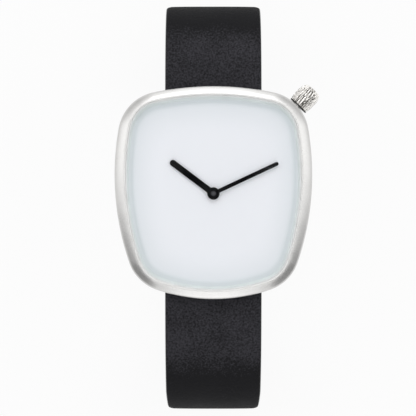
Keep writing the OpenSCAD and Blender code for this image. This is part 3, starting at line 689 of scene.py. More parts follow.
def tidy_normals(mesh: bpy.types.Mesh, smooth: bool = True) -> None:
    """Points a mesh's faces outwards and sets its smooth and sharp edges.

    Args:
        mesh: The mesh.
        smooth: Whether faces are shaded smooth across soft angles.
    """
    work = bmesh.new()
    work.from_mesh(mesh)
    bmesh.ops.remove_doubles(work, verts=work.verts, dist=1e-7)
    bmesh.ops.dissolve_degenerate(work, edges=work.edges, dist=1e-7)
    bmesh.ops.recalc_face_normals(work, faces=work.faces)
    work.to_mesh(mesh)
    work.free()
    if smooth:
        mesh.shade_smooth()
        mesh.set_sharp_from_angle(angle=SMOOTH_ANGLE)
    mesh.update()


def bake_modifiers(made: bpy.types.Object) -> None:
    """Applies an object's modifiers to its mesh.

    Args:
        made: The object.
    """
    result = bpy.data.meshes.new_from_object(made.evaluated_get(bpy.context.evaluated_depsgraph_get()))
    result.name = made.name
    made.modifiers.clear()
    made.data = result


def carve(made: bpy.types.Object, *cutters: bpy.types.Object) -> bpy.types.Object:
    """Cuts solids out of an object and deletes them.

    Args:
        made: The object that is cut.
        *cutters: Closed solids to take away.

    Returns:
        The cut object.
    """
    for cutter in cutters:
        step = made.modifiers.new("cut", "BOOLEAN")
        step.operation, step.solver, step.object = "DIFFERENCE", "EXACT", cutter
    bake_modifiers(made)
    for cutter in cutters:
        bpy.data.objects.remove(cutter)
    tidy_normals(made.data)
    return made


def merge(made: bpy.types.Object, *others: bpy.types.Object) -> None:
    """Adds the meshes of other objects to an object's own, and deletes those objects.

    Args:
        made: The object that keeps its name and finishes.
        *others: Objects that are made of its first finish.
    """
    work = bmesh.new()
    for part in (made, *others):
        work.from_mesh(part.data)
    work.to_mesh(made.data)
    work.free()
    for part in others:
        bpy.data.objects.remove(part)


def circle(r: float, count: int) -> list[Flat]:
    """Points round a circle, counter-clockwise from its rightmost point."""
    return [(r * math.cos(2 * math.pi * k / count), r * math.sin(2 * math.pi * k / count)) for k in range(count)]


def arc(x: float, y: float, r: float, start: float, sweep: float, steps: int) -> list[Flat]:
    """Points along an arc.

    Args:
        x: First coordinate of its centre.
        y: Second coordinate of its centre.
        r: Its radius.
        start: Direction of the first point in degrees.
        sweep: Angle to the last point in degrees, negative where the arc runs clockwise.
        steps: Steps between the first point and the last.

    Returns:
        The points.
    """
    turns = [math.radians(start + sweep * k / steps) for k in range(steps + 1)]
    return [(x + r * math.cos(a), y + r * math.sin(a)) for a in turns]


def turned(name: str, finish: Finish, profile: Sequence[Flat], at: Matrix, count: int,
           around: bool = False) -> bpy.types.Object:
    """Solid of revolution about an axis.

    Args:
        name: The piece's name.
        finish: Its finish.
        profile: Radius and height of each ring, from one end to the other.
        at: Matrix in millimetres that puts the Z axis on the piece's axis.
        count: Points round the axis.
        around: Whether the profile is closed, as for a piece with a bore.

    Returns:
        The object.
    """
    rings = [[tuple(at @ Vector((x, y, z))) for x, y in circle(r, count)] for r, z in profile]
    return Piece(name, [finish]).loft(rings, around=around).finish_mesh()


def plate(name: str, finishes: Sequence[Finish], loops: Sequence[Sequence[Flat]], thick: float, edge: float,
          at: Matrix) -> bpy.types.Object:
    """Flat plate with rounded edges, cut from closed outlines of which the later ones are holes.

    Args:
        name: The piece's name.
        finishes: Its finishes.
        loops: Closed outlines in millimetres.
        thick: Thickness.
        edge: Radius of the rounded edges.
        at: Matrix in millimetres that places the plate, whose middle plane is its XY plane.

    Returns:
        The object.
    """
    curve = bpy.data.curves.new(name, "CURVE")
    curve.dimensions, curve.fill_mode = "2D", "BOTH"
    curve.extrude, curve.bevel_depth, curve.bevel_resolution, curve.offset = thick / 2 - edge, edge, 3, -edge
    for loop in loops:
        spline = curve.splines.new("POLY")
        spline.points.add(len(loop) - 1)
        for point, (x, y) in zip(spline.points, loop):
            point.co = (x, y, 0, 1)
        spline.use_cyclic_u = True
    drawn = bpy.data.objects.new(name, curve)
    bpy.context.scene.collection.objects.link(drawn)
    mesh = bpy.data.meshes.new_from_object(drawn.evaluated_get(bpy.context.evaluated_depsgraph_get()))
    bpy.data.objects.remove(drawn)
    bpy.data.curves.remove(curve)
    mesh.name = name
    mesh.transform(Matrix.Scale(MM, 4) @ at)
    mesh.materials.clear()
    for finish in finishes:
        mesh.materials.append(finish.material())
    tidy_normals(mesh)
    made = bpy.data.objects.new(name, mesh)
    bpy.context.scene.collection.objects.link(made)
    return made


def rounded_box(half_w: float, half_l: float, r: float, count: int) -> list[Flat]:
    """Outline of a rectangle with rounded corners, counter-clockwise.

    Args:
        half_w: Half its width.
        half_l: Half its length.
        r: Radius of its corners.
        count: Steps round each corner.

    Returns:
        The points.
    """
    corners = [(half_w - r, half_l - r, 0), (r - half_w, half_l - r, 90), (r - half_w, r - half_l, 180),
               (half_w - r, r - half_l, 270)]
    return [point for x, y, start in corners for point in arc(x, y, r, start, 90, count)]


def along_x(x: float, y: float, z: float) -> Matrix:
    """Matrix that lays the Z axis along X through a point."""
    return Matrix.Translation((x, y, z)) @ Matrix.Rotation(math.pi / 2, 4, "Y")


def settle(made: bpy.types.Object, body: str, slot: str, *nodes: str) -> bpy.types.Object:
    """Ties a piece to its body, hides the nodes that it stands for, and reports it.

    Args:
        made: The piece.
        body: The body that it rides on.
        slot: The record's material slot. Not used.
        *nodes: The nodes that it replaces.

    Returns:
        The piece.
    """
    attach(made, body)
    if nodes:
        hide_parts(*nodes)
    log.info("%s: %d faces on %s", made.name, len(made.data.polygons), body)
    return made


# Case


@dataclass
class CaseOutline:
    """The case's outline as arcs that meet smoothly, and the outline of its glass opening.

    The arcs run clockwise from the top centre, with their radii, sweeps in degrees and steps. The last one, which
    has no radius or sweep of its own, reaches the bottom centre.
    """

    top: float = 19.9
    radii: tuple[float, ...] = (53.0, 8.2, 50.0, 8.1)
    sweeps: tuple[float, ...] = (12.2, 67.8, 28.9, 51.7)
    steps: tuple[int, ...] = (12, 36, 20, 32, 14)
    rim_side: float = 2.1
    rim_end: float = 1.75

    def half(self, inset: float) -> list[Flat]:
        """Right half, clockwise from the top centre to the bottom centre.

        Args:
            inset: How far it is drawn in.

        Returns:
            The points.
        """
        arcs = len(self.steps)
        heads = [math.radians(sum(self.sweeps[:k])) for k in range(arcs)]
        x, y = 0.0, self.top - inset
        points = []
        for k, steps in enumerate(self.steps):
            last = k == arcs - 1
            head, end = heads[k], math.pi if last else heads[k + 1]
            r = x / math.sin(head) if last else self.radii[k] - inset
            for step in range(steps):
                h = head + (end - head) * step / steps
                points.append((x + r * (math.sin(h) - math.sin(head)), y + r * (math.cos(h) - math.cos(head))))
            x, y = x + r * (math.sin(end) - math.sin(head)), y + r * (math.cos(end) - math.cos(head))
        return [*points, (0.0, y)]

    def points(self, inset: float = 0.0) -> list[Flat]:
        """Whole outline, counter-clockwise from the bottom centre."""
        half = self.half(inset)
        return [*half[:0:-1], half[0], *[(-x, y) for x, y in half[1:-1]]]

    def glass(self, inset: float = 0.0) -> list[Flat]:
        """Outline of the glass opening.

        Args:
            inset: How far it is drawn in.

        Returns:
            The points, matched to the case outline's.
        """
        bottom = self.half(0.0)[-1][1]
        middle, long = (self.top + bottom) / 2, self.top - bottom
        k = (long - 2 * (self.rim_end + inset)) / (long - 2 * (self.rim_side + inset))
        return [(x, middle + (y - middle) * k) for x, y in self.points(self.rim_side + inset)]


@dataclass
class Head:
    """The case with its crystal, dial, dial ring and back, in millimetres, with heights from the back's outer face.

    belly_z is the height of the case's widest line, and belly_in how far its side draws in below. shoulder_full is
    how full its rounded shoulder is. dial_in and crystal_in are distances inside the glass opening's outline, and
    back_in is how far the back plate stays inside the case's underside. dial_shades are the depth, reach and power of
    each part of the dial's painted shade towards its edge.
    """

    outline: CaseOutline = field(default_factory=CaseOutline)
    body_h: float = 6.3
    back_proud: float = 0.6
    belly_in: float = 3.2
    belly_z: float = 5.9
    bevel: float = 0.2
    bevel_drop: float = 0.14
    shoulder_full: float = 1.75
    cavity_r: float = 12.0
    shelf_z: float = 4.9
    seat_z: float = 5.6
    ledge_w: float = 0.5
    dial_t: float = 0.4
    dial_in: float = 0.6
    dial_hole_r: float = 1.05
    dial_chamfer: float = 0.06
    dial_shades: tuple[Point, ...] = ((0.79, 0.42, 1.5), (0.21, 0.06, 1.0))
    ring_w: float = 0.5
    crystal_in: float = 0.14
    crystal_rise: float = 1.05
    crystal_bead: float = 0.062
    crystal_dome: float = 0.34
    crystal_foot: float = 0.16
    crystal_vault: float = 0.66
    back_half: Flat = (14.4, 12.9)
    back_corner: float = 5.0
    back_in: float = 0.5
    back_t: float = 0.8
    back_edge: float = 0.16
    screws: tuple[Flat, ...] = ((12.5, 10.3), (-12.5, 10.3), (-11.2, -9.3), (11.2, -9.3))
    screw_bore: tuple[Flat, ...] = ((0.5, 0.0), (0.5, 3.1))
    screw_sink: tuple[Flat, ...] = ((0.92, -0.2), (0.86, 0.06), (0.86, 0.35), (0.5, 0.35), (0.5, 1.2))
    bar_y: float = 16.2
    bar_h: float = 2.2
    bar_tip_r: float = 0.45
    bar_tip_l: float = 1.1
    strap_half: float = 9.3
    slot_in: float = 2.1
    slot_out: float = 21.0
    slot_roof: float = 2.2
    stem_deg: float = 46.0
    stem_z: float = 3.4
    stem_bore: tuple[Flat, ...] = ((0.6, 11.0), (0.6, 19.0), (1.02, 19.0), (1.02, 26.0))

    def __post_init__(self) -> None:
        """Reads the height of the back from the frame, and works out those of the rim and the bevel."""
        self.base_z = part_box("case_back")[0].z / MM
        self.rim_z = self.back_proud + self.body_h
        self.bevel_z = self.rim_z - self.bevel_drop

    def lift(self, flat: Sequence[Flat], z: float) -> list[Point]:
        """Puts an outline at a height above the back."""
        return [(x, y, self.base_z + z) for x, y in flat]

    def round_line(self, r: float) -> list[Flat]:
        """Circle about the hand axis, matched to the case outline's points."""
        turns = [math.atan2(y, x) for x, y in self.outline.points()]
        return [(r * math.cos(a), r * math.sin(a)) for a in turns]

    def back_line(self, gap: float = 0.0) -> list[Flat]:
        """Outline of the back plate: a rounded rectangle kept inside the case's underside.

        Args:
            gap: How far it is drawn out.

        Returns:
            The points, matched to the case outline's.
        """
        w, l, r = self.back_half[0] + gap, self.back_half[1] + gap, self.back_corner
        corner_x, corner_y = w - r, l - r
        found = []
        for x, y in self.outline.points(self.belly_in + self.back_in - gap):
            reach = math.hypot(x, y)
            c, s = abs(x) / reach, abs(y) / reach
            limit = min(w / max(c, 1e-6), l / max(s, 1e-6))
            if limit * c > corner_x and limit * s > corner_y:
                along = c * corner_x + s * corner_y
                limit = along + math.sqrt(max(0.0, along ** 2 - corner_x ** 2 - corner_y ** 2 + r ** 2))
            k = min(1.0, limit / reach)
            found.append((x * k, y * k))
        return found

    def shell_rings(self) -> tuple[list[list[Point]], int, int]:
        """Rings of the case from its underside round the outside, over the rim and down inside.

        Returns:
            The rings, the number of the polished bevel's first ring and the number of the first inner ring.
        """
        line = self.outline
        stack = [(line.points(self.belly_in + 0.25), self.back_proud),
                 (line.points(self.belly_in + 0.06), self.back_proud + 0.03)]
        lower, upper = 16, 26
        for k in range(1, lower + 1):
            a = math.pi / 2 * k / lower
            z = self.back_proud + (self.belly_z - self.back_proud) * (1 - math.cos(a))
            stack.append((line.points(self.belly_in * (1 - math.sin(a))), z))
        outer, crest = line.points(), line.glass(-self.bevel - 0.06)
        height, power = self.rim_z - self.belly_z, 2 / self.shoulder_full
        for k in range(1, upper + 1):
            a = math.pi / 2 * k / upper
            across = 1 - max(0.0, math.cos(a)) ** power
            stack.append((morph(outer, crest, across), self.belly_z + height * math.sin(a) ** power))
        first_bevel = len(stack)
        stack += [(line.glass(-self.bevel), self.rim_z - 0.004), (line.glass(-0.65 * self.bevel), self.rim_z - 0.018),
                  (line.glass(-0.35 * self.bevel), self.rim_z - 0.05), (line.glass(-0.02), self.bevel_z + 0.012),
                  (line.glass(), self.bevel_z - 0.02)]
        first_inner = len(stack)
        ledge, cavity, recess = line.glass(self.ledge_w), self.round_line(self.cavity_r), self.back_line(0.05)
        stack += [(line.glass(), self.seat_z), (ledge, self.seat_z), (ledge, self.shelf_z), (cavity, self.shelf_z),
                  (cavity, self.back_t), (recess, self.back_t), (recess, self.back_proud)]
        return [self.lift(flat, z) for flat, z in stack], first_bevel, first_inner

    def slot_cutter(self, side: Side) -> bpy.types.Object:
        """Solid that cuts a strap slot from below.

        Args:
            side: The end of the case that the slot is at.

        Returns:
            The solid.
        """
        inner, roof = self.bar_y - self.slot_in, self.bar_h + self.slot_roof
        profile = [(inner, -1.0), (inner, roof - 0.4), (inner + 0.12, roof - 0.12), (inner + 0.4, roof),
                   (self.bar_y + 0.3, roof), (self.slot_out, roof + 0.75), (self.slot_out, -1.0)]
        rings = [[(x, side.value * y, self.base_z + z) for y, z in profile]
                 for x in (-self.strap_half, self.strap_half)]
        return Piece(f"slot_cutter_{side.name}", [INNER_STEEL]).loft(rings).finish_mesh(False)

    def case(self) -> bpy.types.Object:
        """Case body with its strap slots, screw holes and stem hole.

        Returns:
            The object.
        """
        rings, bevel, inner = self.shell_rings()

        def shade(i: int, _: int) -> int:
            """Satin outside, polished on the bevel and plain inside."""
            return 1 if bevel - 1 <= i < inner else 2 if inner <= i < len(rings) - 1 else 0

        made = Piece("case_satin_shell", [SATIN, POLISHED, INNER_STEEL]).loft(rings, shade, around=True).finish_mesh()
        cutters = [self.slot_cutter(side) for side in Side]
        reach = self.strap_half + self.bar_tip_l
        tips = [(self.bar_tip_r, -reach), (self.bar_tip_r, reach)]
        for side in Side:
            at = along_x(0, side.value * self.bar_y, self.base_z + self.bar_h)
            cutters.append(turned("tip_cutter", INNER_STEEL, tips, at, 32))
        for x, y in self.screws:
            at = Matrix.Translation((x, y, self.base_z))
            cutters.append(turned("hole_cutter", INNER_STEEL, self.screw_bore, at, 32))
        cutters.append(turned("stem_cutter", INNER_STEEL, self.stem_bore, self.stem_axis(), 40))
        return settle(carve(made, *cutters), "case", "case_steel", "case_body")

    def stem_axis(self) -> Matrix:
        """Matrix that lays the Z axis along the stem, from the hand axis outwards."""
        turn = Matrix.Rotation(math.radians(self.stem_deg), 4, "Z") @ Matrix.Rotation(math.pi / 2, 4, "Y")
        return Matrix.Translation((0, 0, self.base_z + self.stem_z)) @ turn

    def crystal(self) -> bpy.types.Object:
        """Crystal with a rounded edge and a low dome, vaulted inside.

        Returns:
            The object.
        """
        edge = self.outline.glass(self.crystal_in)
        edge_z, top_z = self.bevel_z - 0.02, self.rim_z + self.crystal_rise - 0.02
        bead, dome, base = self.crystal_bead, self.crystal_dome, self.seat_z + 0.04
        steep = top_z - edge_z - dome

        def outer_z(k: float) -> float:
            """Height of the outer face where the outline is shrunk to k."""
            x = min((1 - k) / bead, 1.0)
            return edge_z + steep * math.sin(math.pi / 2 * x) ** 0.9 + dome * (1 - k * k) ** 0.9

        def inner_z(k: float) -> float:
            """Height of the inner face where the outline is shrunk to k."""
            x = min(max((0.965 - k) / 0.02, 0.0), 1.0)
            return base + self.crystal_foot * x * x * (3 - 2 * x) + self.crystal_vault * (1 - k ** 4)

        outer = [1 - bead * (1 - math.cos(math.pi / 2 * k / 14)) for k in range(15)]
        outer += [(1 - bead) * (1 - k / 18) for k in range(1, 18)] + [0.02]
        inner = [0.97 - 0.03 * k / 8 for k in range(9)] + [0.94 * (1 - k / 24) for k in range(1, 24)] + [0.02]
        stack = [(k, inner_z(k)) for k in reversed(inner)] + [(1, base)] + [(k, outer_z(k)) for k in outer]
        rings = [self.lift([(x * k, y * k) for x, y in edge], z) for k, z in stack]
        made = Piece("domed_crystal", [GLASS]).loft(rings).finish_mesh()
        return settle(made, "case", "crystal", "crystal")

    def crystal_gasket(self) -> bpy.types.Object:
        """Pale nylon gasket with a lip between crystal and case and a flange under the crystal.

        Returns:
            The object.
        """
        top, low = self.bevel_z - 0.06, self.seat_z + 0.004
        section = [(0.004, low), (0.004, top), (0.13, top), (0.13, low + 0.03), (0.72, low + 0.03), (0.72, low)]
        rings = [self.lift(self.outline.glass(inset), z) for inset, z in section]
        made = Piece("crystal_joint", [NYLON]).loft(rings, around=True).finish_mesh()
        return settle(made, "case", "gasket", "crystal_gasket")

    def dial(self) -> bpy.types.Object:
        """Plain dial, with a little painted shade towards its edge.

        Returns:
            The object.
        """
        top, steps = self.shelf_z + self.dial_t, 40
        edge, face = self.outline.glass(self.dial_in), self.outline.glass(self.dial_in + self.dial_chamfer)
        hole = self.round_line(self.dial_hole_r)
        piece = Piece("plain_white_dial", [DIAL_WHITE])
        rings = [self.lift(hole, self.shelf_z), self.lift(edge, self.shelf_z),
                 self.lift(edge, top - self.dial_chamfer), self.lift(face, top)]
        # Painted shade: the edge attribute darkens the dial towards its rim
        shades = [0.0, 1.0, 1.0, 1.0]
        for k in range(1, steps):
            inward = (k / steps) ** 1.6
            rings.append(self.lift(morph(face, hole, inward), top))
            shades.append(sum(depth * max(0.0, 1 - inward / reach) ** power
                              for depth, reach, power in self.dial_shades))
        rings.append(self.lift(hole, top))
        shades.append(0.0)
        piece.loft(rings, around=True)
        piece.values["edge"] = [s for s in shades for _ in edge]
        made = piece.finish_mesh()
        return settle(made, "case", "dial_white", "dial")

    def dial_ring(self) -> bpy.types.Object:
        """Sloping ring between dial and crystal.

        Returns:
            The object.
        """
        low, high, end = self.shelf_z + self.dial_t + 0.01, self.seat_z - 0.02, self.dial_in + self.ring_w
        section = [(0.62, low), (0.62, high - 0.03), (0.66, high), (0.72, high), (0.78, high - 0.03),
                   (end - 0.06, low + 0.02), (end, low)]
        rings = [self.lift(self.outline.glass(inset), z) for inset, z in section]
        made = Piece("sloping_dial_ring", [RING_PALE]).loft(rings, around=True).finish_mesh()
        return settle(made, "case", "dial_white", "dial_ring")

    def back(self) -> bpy.types.Object:
        """Bevelled back plate with countersunk screw holes.

        Returns:
            The object.
        """
        at = Matrix.Translation((0, 0, self.base_z + self.back_t / 2))
        made = plate("bevelled_back_plate", [BACK_STEEL], [self.back_line()], self.back_t, self.back_edge, at)
        sinks = [turned("sink_cutter", BACK_STEEL, self.screw_sink, Matrix.Translation((x, y, self.base_z)), 48)
                 for x, y in self.screws]
        return settle(carve(made, *sinks), "case", "case_steel", "case_back")


# Hands


@dataclass
class Hand:
    """One watch hand: a round-ended bar that grows from a round boss, which may carry a collar."""

    name: str
    node: str
    body: str
    length: float
    width: float
    direction_deg: float
    boss_r: float
    bore: float
    thick: float = 0.15
    edge: float = 0.035
    collar: Flat | None = None
    collar_edge: float = 0.04

    def outline(self) -> list[Flat]:
        """Outline of boss and bar as one closed loop, along +X.

        Returns:
            The points.
        """
        half = self.width / 2
        start = math.degrees(math.asin(half / self.boss_r))
        return arc(0, 0, self.boss_r, start, 360 - 2 * start, 64) + arc(self.length - half, 0, half, -90, 180, 20)

    def build(self) -> bpy.types.Object:
        """Builds the hand at the height of the node that it stands for.

        Returns:
            The object.
        """
        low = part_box(self.node)[0].z / MM
        turn = Matrix.Rotation(math.radians(self.direction_deg), 4, "Z")
        at = Matrix.Translation((0, 0, low + self.thick / 2)) @ turn
        hole = list(reversed(circle(self.bore, 40)))
        made = plate(self.name, [HAND_BLACK, DARK_STEEL], [self.outline(), hole], self.thick, self.edge, at)
        if self.collar:
            (r, high), d = self.collar, self.collar_edge
            profile = [(self.bore, 0.0), (r, 0.0), (r, high - d), (r - d, high), (self.bore, high)]
            rings = [[(x, y, low + self.thick - 0.01 + z) for x, y in circle(wide, 56)] for wide, z in profile]
            merge(made, Piece("collar", [HAND_BLACK]).loft(rings, around=True).finish_mesh())
            tidy_normals(made.data)
        return settle(made, self.body, "hand_black", self.node)


# Crown


@dataclass
class Crown:
    """Bark-textured barrel of a crown with a domed end and a hollow for its tube.

    foot and nose are how far the barrel draws in at its base and at its end. depth is that of the bark, base_fade the
    share of it that is missing at the base, and dome_stretch how much of the bark's pattern the domed end takes up.
    """

    head: Head
    base_x: float = 22.65
    side: float = 3.94
    dome: float = 0.34
    r: float = 2.08
    widest: float = 0.5
    foot: float = 0.18
    nose: float = 0.45
    collar: float = 0.22
    well: Flat = (1.3, 1.6)
    count: int = 400
    rows: int = 100
    ridges: int = 27
    depth: float = 0.2
    base_chamfer: float = 0.06
    base_run: float = 0.16
    base_fade: float = 0.6
    dome_depth: float = 0.1
    dome_stretch: float = 1.4
    dome_steps: int = 14

    def groove(self, a: float, s: float) -> float:
        """Depth of the bark's grooves at a place, 0 on a ridge and 1 in a groove.

        Args:
            a: Angle round the crown in radians.
            s: Distance along the crown in millimetres.

        Returns:
            The groove depth.
        """
        c, d = 2.0 * math.cos(a), 2.0 * math.sin(a)
        # How far the ridges stray sideways, broadly and finely, and where they are deep or shallow
        wander = noise.noise(Vector((c * 0.8, d * 0.8, s * 0.5))) * 2.4
        wander += noise.noise(Vector((c * 2.2 + 7, d * 2.2, s * 1.5))) * 1.2
        patch = noise.noise(Vector((c * 1.5, d * 1.5 + 3, s * 0.9)))
        first = 1.0 - abs(math.sin(self.ridges / 2 * a + wander)) * 1.55
        second = 0.9 - abs(math.sin((self.ridges - 5) / 2 * a - wander * 0.6 + s * 0.9 + 1.1)) * (2.6 - 2.0 * patch)
        # Two crossing sets of grooves, with pits between them
        pits = noise.noise(Vector((c * 3.2 + 1, d * 3.2, s * 1.6)))
        deep = max(first * (1.0 + 0.9 * patch), second, 1.9 * pits - 0.55, 0.0)
        return min(1.0, deep * (1.0 + 0.9 * noise.noise(Vector((c * 3, d * 3, s * 1.3)))))

    def side_r(self, s: float) -> float:
        """Radius of the smooth barrel at a distance along it.

        Args:
            s: The distance in millimetres.

        Returns:
            The radius.
        """
        k = s / self.side
        if k < self.widest:
            return self.r - self.foot * ((self.widest - k) / self.widest) ** 2
        return self.r - self.nose * ((k - self.widest) / (1 - self.widest)) ** 3

    def build(self) -> None:
        """Builds the textured crown and its base collar, whose near-black colour is painted shade."""
        at = self.head.stem_axis() @ Matrix.Translation((0, 0, self.base_x))
        rings, grooves = [], []

        def add(r: float, s: float, cut: float = 0.0, rise: float = 0.0) -> None:
            """Adds a ring.

            Args:
                r: Its radius where there is no bark.
                s: Its distance along the crown.
                cut: How far the bark is cut in at most.
                rise: How far it is cut down at most.
            """
            angles = [2 * math.pi * k / self.count for k in range(self.count)]
            row = [self.groove(a, s + (self.r - r) * self.dome_stretch) if cut or rise else 0.0 for a in angles]
            rings.append([tuple(at @ Vector(((r - cut * g) * math.cos(a), (r - cut * g) * math.sin(a), s - rise * g)))
                          for a, g in zip(angles, row)])
            grooves.append(row)

        (well_r, well_depth), collar_r = self.well, self.side_r(0.0)
        base = [(well_r, well_depth), (well_r, 0.0), (collar_r, 0.0), (collar_r, self.collar)]
        for r, s in base:
            add(r, s)
        for k in range(self.rows + 1):
            s = self.collar + (self.side - self.collar) * k / self.rows
            start = max(0.0, 1 - (s - self.collar) / self.base_run)
            add(self.side_r(s) - self.base_chamfer * start, s, self.depth * (1 - self.base_fade * start))
        nose_r = self.side_r(self.side)
        for k in range(1, self.dome_steps):
            a = math.pi / 2 * k / self.dome_steps
            add(nose_r * math.cos(a), self.side + self.dome * math.sin(a), self.depth * math.cos(a),
                self.dome_depth * math.sin(a))
        # The collar's finish is painted shade
        piece = Piece("bark_crown", [BARK, COLLAR_SHADE])
        piece.loft(rings, lambda i, j: 1 if i < len(base) - 1 else 0)
        piece.values["groove"] = [g for row in grooves for g in row]
        settle(piece.finish_mesh(), "crown", "crown_steel", "crown")


# Strap


# Shoulder of the upper leather: each point's distance in from the side and down from the middle, the thickness and
# the half width from which the shoulder has its full size, and the number of faces with edge paint on each side
SHOULDER = ((0.0, 0.62), (0.02, 0.5), (0.07, 0.4), (0.15, 0.32), (0.26, 0.255), (0.45, 0.185), (0.65, 0.125),
            (0.85, 0.085), (1.1, 0.06), (1.6, 0.045), (2.6, 0.028), (4.2, 0.01), (6.2, 0.002))
SHOULDER_FULL_AT = 1.2
SHOULDER_WIDE_AT = 6.6
SHOULDER_PAINTED = 5


@dataclass
class StrapHalf:
    """One leather half of the strap, drawn along the path of its middle surface.

    reach is how far the half stands out from the hand axis, and lead_bend_r the radius at which it turns down there.
    """

    side: Side
    body: str
    reach: float
    lead_bend_r: float
    wide: float = 18.0
    narrow: float = 16.0
    full_width_to: float = 24.0
    taper_end: float = 56.6
    thick: float = 2.8
    thin: float = 2.1
    thin_from: float = 30.0
    lining: float = 0.7
    leave_deg: float = 8.0
    fold_r: float = 1.6
    bar_hole_r: float = 0.8
    seam: float = 0.01
    fold_step: float = 0.4
    length: float = 75.0

    def __post_init__(self) -> None:
        """Finds the spring bar in the frame and lays out the path."""
        low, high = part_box("spring_bar_12" if self.side is Side.TWELVE else "spring_bar_6")
        self.bar = (low + high) / 2 / MM
        out = self.reach - self.thin / 2 - abs(self.bar.y)
        leave = math.radians(self.leave_deg)
        lead = (out - self.lead_bend_r * (1 - math.sin(leave))) / math.cos(leave)
        bend = self.lead_bend_r * (math.pi / 2 - leave)
        self.path = self.stretches(lead, bend)

    def stretches(self, lead: float, bend: float) -> list[Flat]:
        """Lengths and bends in degrees of the path's stretches."""
        raise NotImplementedError

    def place(self, u: float) -> Point:
        """Where the path is after a length.

        Args:
            u: Length along the path.

        Returns:
            Outward and upward distance from the bar, and the heading in radians.
        """
        x, z, h = 0.0, 0.0, -math.radians(self.leave_deg)
        for i, (length, bend) in enumerate(self.path):
            last = i == len(self.path) - 1
            step = u if last or u < 0 else min(u, length)
            turn = math.radians(bend) * step / length
            if bend and step:
                r = step / turn
                x, z = x + r * (math.sin(h + turn) - math.sin(h)), z + r * (math.cos(h) - math.cos(h + turn))
            else:
                x, z = x + step * math.cos(h), z + step * math.sin(h)
            h += turn
            if last or u <= length:
                break
            u -= length
        return x, z, h

    def put(self, u: float, across: float, up: float) -> Point:
        """Point at a length along the strap, across it and out from its middle surface."""
        x, z, h = self.place(u)
        return (across, self.bar.y + self.side.value * (x - up * math.sin(h)), self.bar.z + z + up * math.cos(h))

    def half_width(self, u: float) -> float:
        """Half the strap's width after a length."""
        k = (u - self.full_width_to) / (self.taper_end - self.full_width_to)
        return (self.wide - (self.wide - self.narrow) * min(1.0, max(0.0, k))) / 2

    def half_thick(self, u: float) -> float:
        """Half the strap's thickness, rounded over the spring bar.

        Args:
            u: Length along the path.

        Returns:
            Half the thickness.
        """
        plain = (self.thin + (self.thick - self.thin) * min(1.0, max(0.0, 1 - u / self.thin_from))) / 2
        if u < self.fold_r:
            round_end = math.sqrt(max(0.0, 1 - (min(u, 0.0) / self.fold_r) ** 2))
            return eased(self.fold_r, plain, min(1.0, max(0.0, u / self.fold_r))) * round_end
        return plain

    def upper_section(self, w: float, low: float, high: float) -> tuple[list[Flat], list[int]]:
        """Section of the upper leather: painted sides, a sloped shoulder and a softly crowned face.

        Args:
            w: Half width.
            low: Underside.
            high: Top in the middle.

        Returns:
            Points from the lower right round to the left, and the finish of the face after each.
        """
        flatter = min(1.0, max(high - low, 0.02) / SHOULDER_FULL_AT)
        nearer = min(1.0, w / SHOULDER_WIDE_AT)
        shoulder = [(w - d * nearer, high - h * flatter) for d, h in SHOULDER]
        right = [(w - 0.05, low), (w, low + 0.06 * flatter), *shoulder]
        painted, plain = [1] * SHOULDER_PAINTED, [0] * (2 * (len(right) - SHOULDER_PAINTED) - 1)
        return right + [(-x, z) for x, z in reversed(right)], painted + plain + painted + [2]

    def lining_section(self, w: float, low: float, high: float) -> tuple[list[Flat], list[int]]:
        """Section of the lining, with rounded lower corners.

        Args:
            w: Half width of the strap.
            low: Underside.
            high: Top.

        Returns:
            Points from the lower right round to the left, and the finish of the face after each.
        """
        d = min(0.22, (high - low) * 0.4)
        right = [(w - 0.5 - d, low), (w - 0.3 * d - 0.02, low + 0.12 * d), (w - 0.02, low + d), (w - 0.02, high)]
        return right + [(-x, z) for x, z in reversed(right)], [0] * 8

    def skin(self, name: str, finishes: Sequence[Finish], stops: Sequence[float],
             section: Callable[[float], tuple[list[Flat], list[int]]]) -> Piece:
        """Skins a section along the strap.

        Args:
            name: The piece's name.
            finishes: Its finishes.
            stops: Lengths along the path.
            section: Section and face finishes at a length.

        Returns:
            The piece.
        """
        made = [section(u) for u in stops]
        rings = [[self.put(u, x, up) for x, up in points] for u, (points, _) in zip(stops, made)]
        return Piece(name, finishes).loft(rings, lambda i, j: made[i][1][j])

    def spaced(self, start: float, end: float, step: float = 0.55) -> list[float]:
        """Even stops between two lengths."""
        count = max(2, round((end - start) / step))
        return [start + (end - start) * k / count for k in range(count + 1)]

    def folded(self) -> list[float]:
        """Stops round the outside of the fold over the spring bar."""
        return [-self.fold_r * math.cos(math.pi / 2 * k / 7) * 0.999 for k in range(7)]

    def lower(self, u: float) -> tuple[list[Flat], list[int]]:
        """Section of the lining at a length."""
        half = self.half_thick(u)
        return self.lining_section(self.half_width(u), -half, self.lining - half - 0.01)

    def bar_cutter(self, y: float, z: float) -> bpy.types.Object:
        """Solid that cuts the hole of a bar."""
        profile = [(self.bar_hole_r, -self.wide), (self.bar_hole_r, self.wide)]
        return turned("bar_cutter", LINING, profile, along_x(0, y, z), 40)

    def punch(self, name: str, loop: Sequence[Flat], u: float) -> bpy.types.Object:
        """Solid that cuts right through the strap.

        Args:
            name: The solid's name.
            loop: Its outline, across the strap and along it.
            u: Length along the strap that the outline is drawn from.

        Returns:
            The solid.
        """
        rings = [[self.put(u + y, x, z) for x, y in loop] for z in (-3.0, 3.0)]
        return Piece(name, [EDGE_PAINT]).loft(rings).finish_mesh(False)


